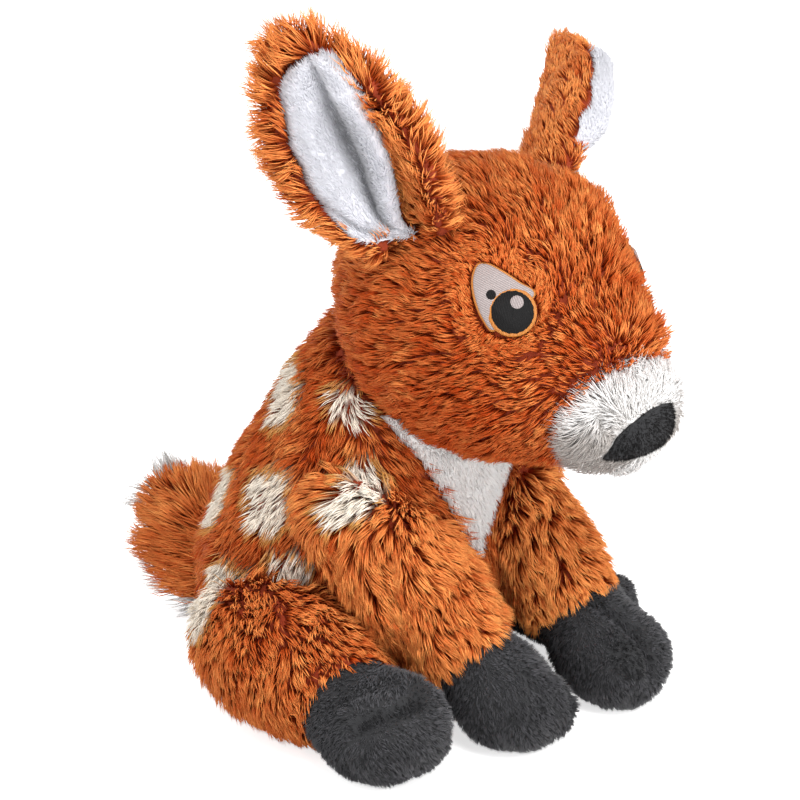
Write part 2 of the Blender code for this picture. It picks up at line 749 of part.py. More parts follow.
def build_leg(toy, names, limb, torso, axis, angles):
    """One leg: its cover and hoof cover, split at the seam, its sole, and one filling for both."""
    leg, hoof_name = names
    form, pivot, seam, towards_leg = limb
    space = swept_space(toy, leg + "_root_space", torso, pivot, axis, angles)
    cavity = toy.cutter(leg + "_cavity", form.mesh(-LONG_PILE_WALL))
    reach = HOOF_LENGTH + SHOULDER_UP + HINDLEG_LENGTH
    above = cylinder_mesh(leg + "_above", seam, towards_leg, reach, reach)
    below = cylinder_mesh(leg + "_below", seam + towards_leg * SEAM_GAP, -towards_leg, reach, reach)
    above_seam = toy.cutter(leg + "_above", above)
    below_seam = toy.cutter(leg + "_below", below)
    under_cover = level_slab(toy, leg + "_under_cover", -CUT_OVERRUN, SOLE_THICKNESS + SEAM_GAP)
    sole_slice = level_slab(toy, leg + "_sole_slice", 0, SOLE_THICKNESS)

    cover = toy.piece(leg + "_cover", form.mesh(0), "rust_pile", pivot)
    boolean(cover, cavity)
    boolean(cover, below_seam)
    boolean(cover, toy.floor)
    clear(cover, space)

    hoof = toy.piece(hoof_name + "_cover", form.mesh(0), "black_pile", pivot)
    boolean(hoof, cavity)
    boolean(hoof, above_seam)
    boolean(hoof, under_cover)

    sole = toy.piece(hoof_name + "_sole", form.mesh(0), "black_pile", pivot)
    boolean(sole, above_seam)
    boolean(sole, sole_slice, "INTERSECT")

    inside = form.mesh(-LONG_PILE_WALL - SEAM_GAP)
    filling = toy.piece(leg + "_filling", inside, "fibre_filling", pivot)
    boolean(filling, under_cover)
    clear(filling, space)


def build_legs(toy, torso):
    shoulders = {
        "right": (RIGHT_SHOULDER_OUT_SHARE, RIGHT_FOREHOOF_OUT, RIGHT_FOREHOOF_FORWARD),
        "left": (LEFT_SHOULDER_OUT_SHARE, LEFT_FOREHOOF_OUT, LEFT_FOREHOOF_FORWARD),
    }
    hips = {
        "right": (RIGHT_HINDLEG_TURN, RIGHT_HIP_FORWARD),
        "left": (LEFT_HINDLEG_TURN, LEFT_HIP_FORWARD),
    }
    for side_name, mirror in (("right", -1), ("left", 1)):
        limb = foreleg_form(mirror, *shoulders[side_name])
        names = (side_name + "_foreleg", side_name + "_forehoof")
        lift = (0, -FORELEG_LIFT / 2, -FORELEG_LIFT)
        build_leg(toy, names, limb, torso, Vector((1, 0, 0)), lift)
        limb = hindleg_form(mirror, *hips[side_name])
        names = (side_name + "_hindleg", side_name + "_hindhoof")
        splay = (0, mirror * HINDLEG_SPLAY)
        build_leg(toy, names, limb, torso, Vector((0, 0, 1)), splay)


def build_tail(toy, torso):
    along = Vector((0, cos(TAIL_RISE), sin(TAIL_RISE)))
    level = Vector((0, -sin(TAIL_RISE), cos(TAIL_RISE)))
    across_leaf = Vector((cos(TAIL_ROLL), 0, 0)) + level * sin(TAIL_ROLL)
    up = Vector((-sin(TAIL_ROLL), 0, 0)) + level * cos(TAIL_ROLL)
    seat, _ = torso.surface_towards(Vector((0, 0, TAIL_UP)), Vector((0, 1, 0)))
    root = seat - along * TAIL_ROOT
    length = TAIL_LENGTH + TAIL_ROOT
    stations = []
    for share, swell in TAIL_RING_SHARES:
        middle = root + along * length * share
        across = TAIL_WIDTH / 2 * swell
        stations.append(station(middle, along, across_leaf, across, TAIL_THICKNESS / 2 * swell))
    tail = Form("tail", stations, root, root + along * length, SMALL_POINTS)
    space = swept_space(toy, "tail_seat", torso, seat, Vector((1, 0, 0)), (-TAIL_DROP, 0, TAIL_LIFT))
    reach = TAIL_LENGTH + TAIL_WIDTH
    for name, cloth, way in (("tail_top", "rust_pile", -1), ("tail_underside", "white_pile", 1)):
        half = toy.piece(name, tail.mesh(0), cloth, seat)
        split = cylinder_mesh(name + "_split", seat - up * way * SEAM_GAP / 2, up * way, reach, reach)
        boolean(half, toy.cutter(name + "_split", split))
        clear(half, space)


def main():
    toy = Toy()
    torso = torso_form()
    head = head_form()
    muzzle = muzzle_form()
    build_torso(toy, torso, head)
    build_head(toy, head)
    build_muzzle(toy, muzzle, head)
    build_legs(toy, torso)
    build_tail(toy, torso)
    build_eye(toy, "right", -1, head)
    build_eye(toy, "left", 1, head)
    build_ear(toy, "right", -1, RIGHT_EAR_SPREAD, RIGHT_EAR_LEAN_BACK, head)
    build_ear(toy, "left", 1, LEFT_EAR_SPREAD, LEFT_EAR_LEAN_BACK, head)


main()
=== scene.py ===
"""Dresses the seated plush fawn: stuffed skins, long and short pile, stitched eyes, stage and camera.

Metres, +Z up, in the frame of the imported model. The fawn faces -Y with its right side at -X.
"""

import json
from math import cos, pi, radians, sin

import bpy
import numpy as np
from bpy.props import FloatProperty, FloatVectorProperty, IntProperty, PointerProperty
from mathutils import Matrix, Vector
from mathutils.bvhtree import BVHTree
from mathutils.kdtree import KDTree


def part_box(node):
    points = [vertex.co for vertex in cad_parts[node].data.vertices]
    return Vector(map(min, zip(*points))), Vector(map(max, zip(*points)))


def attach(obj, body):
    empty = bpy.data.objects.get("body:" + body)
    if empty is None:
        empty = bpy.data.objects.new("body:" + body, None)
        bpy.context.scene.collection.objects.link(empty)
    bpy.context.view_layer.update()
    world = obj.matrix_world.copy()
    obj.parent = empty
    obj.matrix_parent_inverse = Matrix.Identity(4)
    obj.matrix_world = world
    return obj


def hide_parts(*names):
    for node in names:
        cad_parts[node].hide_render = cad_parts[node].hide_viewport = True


bl_info = {
    "name": "Plush Fawn",
    "version": (1, 0, 0),
    "blender": (4, 5, 0),
    "location": "View3D > Sidebar > Fawn",
    "description": "Dresses a sewn plush fawn in pile, stitches and soft studio light",
    "category": "Add Mesh",
}

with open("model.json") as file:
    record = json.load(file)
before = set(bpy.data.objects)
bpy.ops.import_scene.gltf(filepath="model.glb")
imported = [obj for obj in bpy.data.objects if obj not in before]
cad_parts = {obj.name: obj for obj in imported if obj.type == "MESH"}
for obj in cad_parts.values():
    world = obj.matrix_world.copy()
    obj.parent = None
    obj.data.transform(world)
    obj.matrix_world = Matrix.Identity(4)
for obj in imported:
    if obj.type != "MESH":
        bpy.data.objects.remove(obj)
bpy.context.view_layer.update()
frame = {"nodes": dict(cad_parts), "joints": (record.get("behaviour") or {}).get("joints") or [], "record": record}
NODES = frame["nodes"]
BODIES = frame["record"]["behaviour"]["bodies"]
SIDES = (("right", -1), ("left", 1))

# The photograph's view: its scale at the target, and where the camera stands
PIXELS_PER_METRE = 2520
PHOTO_WIDTH = 800
CAMERA_LENS = 150
CAMERA_SENSOR = 36
CAMERA_AZIMUTH = radians(-50)
CAMERA_ELEVATION = radians(21)
CAMERA_TARGET = Vector((0, -0.0247, 0.119))

# Skins: the voxel of the cast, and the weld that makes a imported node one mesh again
SKIN_VOXEL = 0.003
WELD = 0.00001
SEAM_REACH = 0.0006

# Cloth: how hard the stuffing presses, for how many frames, how far a point may go and where it starts
CLOTH_PRESSURE = 4.0
CLOTH_FRAMES = 20
CLOTH_CAP = 0.0022
SLACK = 0.0020

# How far the head's skin sinks beside the stitched eyes
EYE_SINK = 0.0018

# Where the torso's pile parts into a front and a back panel, forward of which lies the front one
TORSO_MIDDLE = 0.002

# Pile: how thick a strand is at its root, how deep it is set, and how the strands gather into tufts
STRAND_ROOT = 0.00062
SHORT_STRAND_ROOT = 0.00055
ROOT_DEPTH = 0.0006
MID_SHARE = 0.5
SHOWN_SHARE = 0.6
FLOOR_GAP = 0.0007
STRAND_BOW = 0.10
MID_WIDTH_SHARE = 0.74
TUFT_STRANDS = 9
TUFT_PULL_SHARE = 0.6
NEIGHBOUR_GAP = 0.0022
SQUARE_MM = 1e6
FAR_AWAY = 9.0
BLACK = (0, 0, 0)

# Bands of the pile's own map: across it lie rust, tan and cream, along it root to tip
RUST_BAND = (0.02, 0.60)
TAN_BAND = (0.64, 0.72)
CREAM_BAND = (0.78, 0.98)
PLAIN_BAND = (0.04, 0.96)
STRAND_BAND_WIDTH = 0.006
ROOT_U, CAP_U, TIP_U = 0.01, 0.05, 0.99

# The nose's outline seen from the front: across and up
NOSE_OUTLINE = (
    (-0.0186, 0.1305),
    (-0.0184, 0.1345),
    (-0.0176, 0.1386),
    (-0.0150, 0.1418),
    (-0.0115, 0.1440),
    (-0.0070, 0.1458),
    (-0.0020, 0.1468),
    (0.0050, 0.1464),
    (0.0098, 0.1448),
    (0.0104, 0.1400),
    (0.0092, 0.1345),
    (0.0050, 0.1315),
    (-0.0030, 0.1300),
    (-0.0110, 0.1294),
    (-0.0162, 0.1295),
)

# Where the head's pile stands fullest: above the snout, on the bridge and on the brow
FULL_PILE = ((0.006, -0.137, 0.163), (0.014, -0.124, 0.180), (0.022, -0.108, 0.202))

PUPIL_SHIFT = (-0.0004, 0.0021)
RING_WIDTH = 0.0010
EYE_AREAS = ("outline", "white", "ring", "pupil", "highlight", "corner_dot")

# The eye white's outline about the middle of the pupil, backwards and up, in pupil radii
EYE_WHITE_SHARES = (
    (0.30, -0.10),
    (0.88, -0.52),
    (1.28, 0.00),
    (1.54, 0.66),
    (1.68, 1.40),
    (1.64, 1.98),
    (1.40, 2.46),
    (0.96, 2.46),
    (0.38, 2.12),
    (-0.35, 1.62),
    (-1.05, 1.02),
)


def linear(hex_colour):
    """An sRGB hex colour as linear red, green and blue."""
    values = [int(hex_colour[i : i + 2], 16) / 255 for i in (1, 3, 5)]
    return tuple(v / 12.92 if v <= 0.04045 else ((v + 0.055) / 1.055) ** 2.4 for v in values)


def colour_property(name, description, hex_colour):
    return FloatVectorProperty(
        name=name, description=description, subtype="COLOR", size=3, min=0, max=1, default=linear(hex_colour)
    )


def length_property(name, description, metres):
    return FloatProperty(name=name, description=description, unit="LENGTH", default=metres, min=0)


class FawnPileSettings(bpy.types.PropertyGroup):
    torso: length_property("Torso", "Length of the torso's pile", 0.0100)
    head: length_property("Head", "Length of the head's pile", 0.0085)
    foreleg: length_property("Forelegs", "Length of the forelegs' pile", 0.0125)
    hindleg: length_property("Hind legs", "Length of the hind legs' pile", 0.0110)
    ear: length_property("Ears", "Length of the pile behind the ears", 0.0105)
    tail: length_property("Tail", "Length of the tail's pile", 0.0150)
    muzzle: length_property("Muzzle", "Length of the muzzle's pile", 0.0110)
    hoof: length_property("Hooves", "Length of the hooves' short pile", 0.0032)
    bib: length_property("Bib", "Length of the bib's short pile", 0.0040)
    lining: length_property("Ear lining", "Length of the ear lining's short pile", 0.0034)
    nose: length_property("Nose", "Length of the nose's short pile", 0.0014)
    long_density: FloatProperty(name="Long pile", description="Strands on a square millimetre", default=1.05)
    short_density: FloatProperty(name="Short pile", description="Strands on a square millimetre", default=1.5)
    seed: IntProperty(name="Seed", description="Start of the random draws", default=7)


class FawnColourSettings(bpy.types.PropertyGroup):
    # Roots darker than tips: partly the plush's own colour and partly painted shade between the strands; the lightest
    # tips partly painted highlight.
    rust_root: colour_property("Rust root", "Rust pile at the cloth", "#9A350B")
    rust_dark: colour_property("Rust dark", "Darkest strands' tips", "#BE460C")
    rust_light: colour_property("Rust light", "Lightest strands' tips", "#FCA55A")
    tan: colour_property("Tan", "Pile at the edge of a spot", "#C9924A")
    cream: colour_property("Cream", "Pile in a spot", "#FBF3E6")
    white: colour_property("White", "White pile's tips", "#FBFAF9")
    white_root: colour_property("White root", "White pile at the cloth", "#DAD4D0")
    # Hoof pile's tips a lighter grey than its roots: painted sheen.
    black: colour_property("Black", "Hoof pile's tips", "#5F5E62")
    black_root: colour_property("Black root", "Hoof pile at the cloth", "#262628")
    nose: colour_property("Nose", "Nose pile", "#13100F")
    pupil: colour_property("Pupil", "Black thread", "#131212")
    amber: colour_property("Amber", "Thread round the pupil", "#C57B2C")
    eye_white: colour_property("Eye white", "Satin thread of the eye", "#A69A98")
    lining: colour_property("Ear lining", "Ear lining's pile", "#DCDCE2")


class FawnStageSettings(bpy.types.PropertyGroup):
    floor: colour_property("Floor", "Floor and background", "#FFFFFF")
    key: FloatProperty(name="Key light", description="Power of the key light", default=15, unit="POWER")
    fill: FloatProperty(name="Fill light", description="Power of the fill light", default=6, unit="POWER")
    back: FloatProperty(name="Back light", description="Power of the back light", default=2.5, unit="POWER")
    world: FloatProperty(name="World", description="Strength of the world's light", default=0.62)


def add_node(tree, kind, settings=(), inputs=(), links=()):
    """Adds a node, sets its properties and sockets, and links (socket, other node, other socket) into it."""
    node = tree.nodes.new(kind)
    for key, value in dict(settings).items():
        setattr(node, key, value)
    for key, value in dict(inputs).items():
        node.inputs[key].default_value = value
    for socket, other, output in links:
        tree.links.new(other.outputs[output], node.inputs[socket])
    return node


def new_material(name):
    """An empty node material with its output and its Principled shader."""
    material = bpy.data.materials.new(name)
    material.use_nodes = True
    tree = material.node_tree
    tree.nodes.clear()
    shader = add_node(tree, "ShaderNodeBsdfPrincipled")
    add_node(tree, "ShaderNodeOutputMaterial", links=[("Surface", shader, "BSDF")])
    return material, tree, shader


def fill_ramp(node, stops):
    """Sets a colour ramp's stops, each a place and a linear colour."""
    elements = node.color_ramp.elements
    while len(elements) > 1:
        elements.remove(elements[-1])
    elements[0].position, elements[0].color = stops[0][0], (*stops[0][1], 1)
    for place, colour in stops[1:]:
        elements.new(place).color = (*colour, 1)


def pile_material(name, root_stops, tip_stops, roughness, sheen):
    """Pile seen strand by strand: dark at the cloth, light at the tip, each strand with a tone of its own. The dark at
    the cloth is partly painted shade between the strands, the light at the tip partly painted highlight.

    The strands' map holds the place along a strand across the map and its tone up the map.
    """
    found = bpy.data.materials.get(name)
    if found:
        return found
    material, tree, shader = new_material(name)
    place = add_node(tree, "ShaderNodeUVMap", {"uv_map": "OFBake"})
    split = add_node(tree, "ShaderNodeSeparateXYZ", links=[("Vector", place, "UV")])
    roots = add_node(tree, "ShaderNodeValToRGB", links=[("Fac", split, "Y")])
    tips = add_node(tree, "ShaderNodeValToRGB", links=[("Fac", split, "Y")])
    fill_ramp(roots, root_stops)
    fill_ramp(tips, tip_stops)
    along = add_node(
        tree,
        "ShaderNodeMapRange",
        {"interpolation_type": "SMOOTHSTEP"},
        {"From Min": 0.02, "From Max": 0.80},
        [("Value", split, "X")],
    )
    mix = add_node(
        tree,
        "ShaderNodeMix",
        {"data_type": "RGBA"},
        links=[(0, along, 0), (6, roots, "Color"), (7, tips, "Color")],
    )
    tree.links.new(mix.outputs[2], shader.inputs["Base Color"])
    shader.inputs["Roughness"].default_value = roughness
    shader.inputs["Specular IOR Level"].default_value = 0.12
    shader.inputs["Sheen Weight"].default_value = sheen
    shader.inputs["Sheen Roughness"].default_value = 0.5
    return material


def mixed(a, b, share):
    return tuple(x + (y - x) * share for x, y in zip(a, b))


def rust_pile():
    """Long polyester plush, printed with cream spots that have tan edges."""
    c = bpy.context.scene.fawn_colours
    middle = mixed(c.rust_dark, c.rust_light, 0.35)
    roots = [
        (0.0, c.rust_root),
        (RUST_BAND[1], mixed(c.rust_root, c.rust_dark, 0.5)),
        (TAN_BAND[0], mixed(c.rust_root, c.tan, 0.5)),
        (CREAM_BAND[0], mixed(c.tan, c.cream, 0.88)),
        (1.0, c.cream),
    ]
    tips = [
        (0.0, c.rust_dark),
        (RUST_BAND[1] / 2, middle),
        (RUST_BAND[1], c.rust_light),
        (TAN_BAND[0], mixed(c.rust_light, c.tan, 0.6)),
        (TAN_BAND[1], c.tan),
        (CREAM_BAND[0], mixed(c.tan, c.cream, 0.85)),
        (1.0, c.cream),
    ]
    return pile_material("polyester_plush_rust", roots, tips, 0.55, 0.0)


def muzzle_pile():
    """Long white polyester plush, some of its strands a warm grey."""
    c = bpy.context.scene.fawn_colours
    grey = mixed(c.white_root, (0.27, 0.23, 0.20), 0.60)
    tips = [(0.0, grey), (0.45, mixed(grey, c.white, 0.6)), (0.8, mixed(c.white_root, c.white, 0.7)), (1.0, c.white)]
    roots = [(0.0, grey), (0.4, mixed(c.white_root, c.white, 0.6)), (1.0, c.white)]
    return pile_material("polyester_plush_long_white", roots, tips, 0.6, 0.0)


def white_pile():
    """Short white polyester plush."""
    c = bpy.context.scene.fawn_colours
    tips = [(0.0, mixed(c.white_root, c.white, 0.7)), (0.5, c.white), (1.0, c.white)]
    return pile_material("polyester_plush_white", [(0.0, c.white_root), (1.0, c.white)], tips, 0.6, 0.1)


def lining_pile():
    """Short white velboa of the ear linings, a little bluer than the muzzle, with painted shade: grey for the shadow in
    the cup's fold, darker still at the roots.
    """
    c = bpy.context.scene.fawn_colours
    # Painted shade: the grey that stands for the shadow in the lining's fold.
    fold_shade = mixed(BLACK, c.lining, 0.42)
    tips = [(0.0, fold_shade), (0.7, c.lining), (1.0, c.lining)]
    roots = [(0.0, mixed(BLACK, fold_shade, 0.85)), (0.7, mixed(fold_shade, c.lining, 0.75)), (1.0, c.lining)]
    return pile_material("velboa_white", roots, tips, 0.65, 0.1)


def black_pile():
    """Short black velboa of the hooves, with a cool sheen: the shader's own, and painted sheen in the tips' lighter
    grey; the roots darker, painted shade.
    """
    c = bpy.context.scene.fawn_colours
    deep = mixed(BLACK, c.black_root, 0.45)
    tips = [(0.0, deep), (0.3, mixed(c.black_root, c.black, 0.35)), (1.0, c.black)]
    return pile_material("velboa_black", [(0.0, deep), (0.4, c.black_root), (1.0, c.black_root)], tips, 0.5, 0.12)


def nose_pile():
    """Very short black plush of the nose."""
    c = bpy.context.scene.fawn_colours
    tips = [(0.0, mixed(c.black_root, c.nose, 0.5)), (1.0, c.nose)]
    return pile_material("flocked_plush_black", [(0.0, c.nose), (1.0, c.nose)], tips, 0.75, 0.0)


def backing_material(name, dark, light):
    """The knitted backing that shows between the roots: its colour wanders over a few millimetres."""
    found = bpy.data.materials.get(name)
    if found:
        return found
    material, tree, shader = new_material(name)
    place = add_node(tree, "ShaderNodeTexCoord")
    noise = add_node(
        tree, "ShaderNodeTexNoise", inputs={"Scale": 420.0, "Detail": 3.0}, links=[("Vector", place, "Object")]
    )
    ramp = add_node(tree, "ShaderNodeValToRGB", links=[("Fac", noise, "Fac")])
    fill_ramp(ramp, [(0.3, dark), (0.7, light)])
    relief = {"Strength": 0.5, "Distance": 0.0004}
    bump = add_node(tree, "ShaderNodeBump", inputs=relief, links=[("Height", noise, "Fac")])
    tree.links.new(ramp.outputs["Color"], shader.inputs["Base Color"])
    tree.links.new(bump.outputs["Normal"], shader.inputs["Normal"])
    shader.inputs["Roughness"].default_value = 0.9
    return material


def thread_material(name, colour, pitch, roughness, gloss=0.5):
    """Satin stitch in glossy embroidery thread: fine parallel ridges in the patch's own map, darker between the ridges
    as painted shade.
    """
    found = bpy.data.materials.get(name)
    if found:
        return found
    material, tree, shader = new_material(name)
    place = add_node(tree, "ShaderNodeUVMap", {"uv_map": "stitch"})
    wave = add_node(
        tree,
        "ShaderNodeTexWave",
        {"wave_type": "BANDS", "bands_direction": "X"},
        {"Scale": 0.314 / (pitch * 1000), "Distortion": 1.6, "Detail": 2.0, "Detail Scale": 2.0},
        [("Vector", place, "UV")],
    )
    ramp = add_node(tree, "ShaderNodeValToRGB", links=[("Fac", wave, "Fac")])
    # Painted shade: the grooves between the threads run darker than the thread.
    fill_ramp(ramp, [(0.0, mixed(BLACK, colour, 0.45)), (0.7, colour)])
    relief = {"Strength": 0.6, "Distance": 0.0002}
    bump = add_node(tree, "ShaderNodeBump", inputs=relief, links=[("Height", wave, "Fac")])
    tree.links.new(ramp.outputs["Color"], shader.inputs["Base Color"])
    tree.links.new(bump.outputs["Normal"], shader.inputs["Normal"])
    shader.inputs["Roughness"].default_value = roughness
    shader.inputs["Anisotropic"].default_value = 0.4
    shader.inputs["Specular IOR Level"].default_value = gloss
    return material


def deselect_all():
    for obj in bpy.context.selected_objects:
        obj.select_set(False)


def activate(obj):
    """Makes an object the only selected one and the active one."""
    deselect_all()
    obj.select_set(True)
    bpy.context.view_layer.objects.active = obj


def apply_modifier(obj, name, kind, **settings):
    activate(obj)
    modifier = obj.modifiers.new(name, kind)
    for key, value in settings.items():
        setattr(modifier, key, value)
    bpy.ops.object.modifier_apply(modifier=modifier.name)


def edit(obj, *steps):
    """Runs edit-mode operators on the whole of a mesh."""
    activate(obj)
    bpy.ops.object.mode_set(mode="EDIT")
    bpy.ops.mesh.select_all(action="SELECT")
    for step in steps:
        step()
    bpy.ops.object.mode_set(mode="OBJECT")


def copy_of_nodes(name, nodes):
    """One loose mesh with the solids of these nodes, its doubles merged."""
    copies = []
    for node in nodes:
        copy = NODES[node].copy()
        copy.data = NODES[node].data.copy()
        copy.parent = None
        for key in list(copy.keys()):
            del copy[key]
        bpy.context.scene.collection.objects.link(copy)
        copies.append(copy)
    activate(copies[0])
    for copy in copies:
        copy.select_set(True)
    if len(copies) > 1:
        bpy.ops.object.join()
    skin = copies[0]
    skin.name = name
    skin.data.name = name
    edit(skin, lambda: bpy.ops.mesh.remove_doubles(threshold=WELD))
    return skin


def keep_largest_part(obj):
    """Drops every loose part but the one with the most faces."""
    mesh = obj.data
    parent = list(range(len(mesh.vertices)))

    def root(i):
        while parent[i] != i:
            parent[i] = parent[parent[i]]
            i = parent[i]
        return i

    for edge in mesh.edges:
        a, b = root(edge.vertices[0]), root(edge.vertices[1])
        if a != b:
            parent[a] = b
    roots = [root(i) for i in range(len(mesh.vertices))]
    counts = {}
    for r in roots:
        counts[r] = counts.get(r, 0) + 1
    if len(counts) == 1:
        return
    main = max(counts, key=counts.get)
    for vertex in mesh.vertices:
        vertex.select = roots[vertex.index] != main
    activate(obj)
    bpy.ops.object.mode_set(mode="EDIT")
    bpy.ops.mesh.select_mode(type="VERT")
    bpy.ops.object.mode_set(mode="OBJECT")
    for vertex in mesh.vertices:
        vertex.select = roots[vertex.index] != main
    bpy.ops.object.mode_set(mode="EDIT")
    bpy.ops.mesh.delete(type="VERT")
    bpy.ops.object.mode_set(mode="OBJECT")


def stuffed(name, nodes, voxel=SKIN_VOXEL, smoothing=6):
    """A soft skin cast over the outside of these nodes."""
    skin = copy_of_nodes(name, nodes)
    apply_modifier(skin, "cast", "REMESH", mode="VOXEL", voxel_size=voxel, use_smooth_shade=True)
    keep_largest_part(skin)
    if smoothing:
        apply_modifier(skin, "soften", "SMOOTH", factor=0.5, iterations=smoothing)
    return skin


def puffed(skin, cap):
    """Lets the stuffing press a skin out as cloth, no point further than a cap, and applies the result."""
    start, _, _ = surface_of(skin)
    activate(skin)
    cloth = skin.modifiers.new("cloth", "CLOTH")
    cloth.settings.quality = 4
    cloth.settings.mass = 0.2
    cloth.settings.use_pressure = True
    cloth.settings.uniform_pressure_force = CLOTH_PRESSURE
    cloth.settings.effector_weights.gravity = 0
    cloth.collision_settings.use_collision = False
    for step in range(1, CLOTH_FRAMES + 1):
        bpy.context.scene.frame_set(step)
    bpy.ops.object.modifier_apply(modifier=cloth.name)
    bpy.context.scene.frame_set(1)
    moved = surface_of(skin)[0] - start
    far = np.linalg.norm(moved, axis=1, keepdims=True)
    set_points(skin, start + moved * np.minimum(1, cap / np.maximum(far, 1e-9)))
    apply_modifier(skin, "settle", "SMOOTH", factor=0.5, iterations=2)
    return skin


def set_points(obj, points):
    obj.data.vertices.foreach_set("co", points.astype(np.float32).ravel())
    obj.data.update()


def press(skin, *moves):
    """Shapes a skin as a thumb would: each place moves by a vector that fades to nothing at a radius."""
    points = surface_of(skin)[0]
    total = np.zeros_like(points)
    for place, radius, move in moves:
        far = np.linalg.norm(points - np.array(place), axis=1) / radius
        total += (np.where(far < 1, (1 - far**2) ** 2, 0))[:, None] * np.array(move)
    set_points(skin, points + total)


def nearest_on_path(points, path):
    """The nearest point of a broken line to each point."""
    best = np.full(len(points), FAR_AWAY)
    near = np.zeros_like(points)
    for a, b in zip(path[:-1], path[1:]):
        a, b = np.array(a, float), np.array(b, float)
        share = np.clip((points - a) @ (b - a) / ((b - a) @ (b - a)), 0, 1)
        on = a + share[:, None] * (b - a)
        far = np.linalg.norm(points - on, axis=1)
        closer = far < best
        best[closer], near[closer] = far[closer], on[closer]
    return near, best


def crease(skin, path, width, depth):
    """Draws a sewn crease into a skin along a broken line."""
    points, normals, _ = surface_of(skin)
    far = nearest_on_path(points, path)[1]
    set_points(skin, points - normals * (depth * np.exp(-((far / width) ** 2)))[:, None])


def slacken(skin, amount):
    """Draws a skin in along its normals, as a cover is before it is stuffed."""
    points, normals, _ = surface_of(skin)
    depth = amount(points) if callable(amount) else np.full(len(points), amount)
    set_points(skin, points - normals * depth[:, None])


def dress(obj, material, body, nodes=()):
    """Gives a finished piece its material and body, and hides the nodes that it stands for."""
    obj.data.materials.clear()
    obj.data.materials.append(material)
    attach(obj, body)
    if nodes:
        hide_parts(*nodes)
    return obj


def unit(vectors):
    """Vectors of length one."""
    return vectors / np.maximum(np.linalg.norm(vectors, axis=1, keepdims=True), 1e-12)


def dot(a, b):
    return np.einsum("ij,ij->i", a, b)[:, None]


def surface_of(obj):
    """A mesh's points, vertex normals and triangles as arrays."""
    mesh = obj.data
    mesh.calc_loop_triangles()
    points = np.empty(len(mesh.vertices) * 3, np.float32)
    mesh.vertices.foreach_get("co", points)
    normals = np.empty(len(mesh.vertices) * 3, np.float32)
    mesh.vertices.foreach_get("normal", normals)
    triangles = np.empty(len(mesh.loop_triangles) * 3, np.int32)
    mesh.loop_triangles.foreach_get("vertices", triangles)
    return points.reshape(-1, 3).astype(float), normals.reshape(-1, 3).astype(float), triangles.reshape(-1, 3)


def tree_of(objects):
    """A search tree over the faces of some objects' meshes."""
    points, faces, start = [], [], 0
    for obj in objects:
        points += [v.co.copy() for v in obj.data.vertices]
        faces += [[start + i for i in p.vertices] for p in obj.data.polygons]
        start = len(points)
    return BVHTree.FromPolygons(points, faces)


def other_bodies(body):
    """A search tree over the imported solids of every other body."""
    return tree_of([NODES[n] for b, nodes in BODIES.items() if b != body for n in nodes])


def distances(tree, points, reach):
    """How far each point lies from a search tree's faces, or the reach where that is further."""
    out = np.full(len(points), reach)
    for i, point in enumerate(points):
        found = tree.find_nearest(point, reach)[3]
        if found is not None:
            out[i] = found
    return out


def covered(tree, points, directions, reach):
    """Whether a search tree's faces lie over each point in its direction, within its reach."""
    hits = [tree.ray_cast(p, d, r)[0] is not None for p, d, r in zip(points, directions, reach)]
    return np.array(hits, bool)


def ripple(points, wavelength, seed):
    """Smooth noise between about -1 and 1 that wanders over a wavelength."""
    rng = np.random.default_rng(seed)
    total = np.zeros(len(points))
    for _ in range(5):
        direction = rng.normal(size=3)
        direction *= 2 * pi / wavelength * rng.uniform(0.6, 1.4) / np.linalg.norm(direction)
        total += np.sin(points @ direction + rng.uniform(0, 2 * pi))
    return total / 2.5


def roots_on(skin, density, rng):
    """Evenly strewn points on a skin, with its smooth normal at each."""
    points, normals, triangles = surface_of(skin)
    a, b, c = (points[triangles[:, i]] for i in range(3))
    area = np.linalg.norm(np.cross(b - a, c - a), axis=1) / 2
    count = int(area.sum() * density * SQUARE_MM)
    pick = rng.choice(len(triangles), count, p=area / area.sum())
    u, v = rng.random((2, count))
    flip = u + v > 1
    u[flip], v[flip] = 1 - u[flip], 1 - v[flip]
    weights = np.stack([1 - u - v, u, v], axis=1)
    corners = triangles[pick]
    place = np.einsum("ij,ijk->ik", weights, points[corners])
    normal = unit(np.einsum("ij,ijk->ik", weights, normals[corners]))
    return place, normal


class Pile:
    """What a patch of pile grows by."""

    def __init__(self, length, density, flow, lift=35, **extra):
        self.length = length
        self.density = density
        self.flow = flow
        self.lift = radians(lift)
        self.root = extra.get("root", STRAND_ROOT)
        self.short = extra.get("short", False)
        self.swirl = radians(extra.get("swirl", 24))
        self.spread = radians(extra.get("spread", 14))
        self.tuft = extra.get("tuft", TUFT_STRANDS)
        self.pull = extra.get("pull", TUFT_PULL_SHARE)
        self.scale = extra.get("scale", None)
        self.tone = extra.get("tone", None)
        self.gap = extra.get("gap", NEIGHBOUR_GAP)
        self.bias = extra.get("bias", 0.0)
        self.rise = extra.get("rise", None)


def grow(name, skin, body, pile, material, keep, seed):
    """Grows pile on a skin where keep says so, as one mesh of closed tapered strands."""
    rng = np.random.default_rng(bpy.context.scene.fawn_pile.seed + seed)
    points, normals = roots_on(skin, pile.density, rng)
    kept = keep(points, normals)
    points, normals = points[kept], normals[kept]
    if pile.gap:
        free = distances(other_bodies(body), points, pile.gap + 0.001) >= pile.gap
        points, normals = points[free], normals[free]
    lengths = np.full(len(points), pile.length)
    if pile.scale is not None:
        lengths *= pile.scale(points, normals)
    return strands(name, points, normals, lengths, body, pile, material, rng)


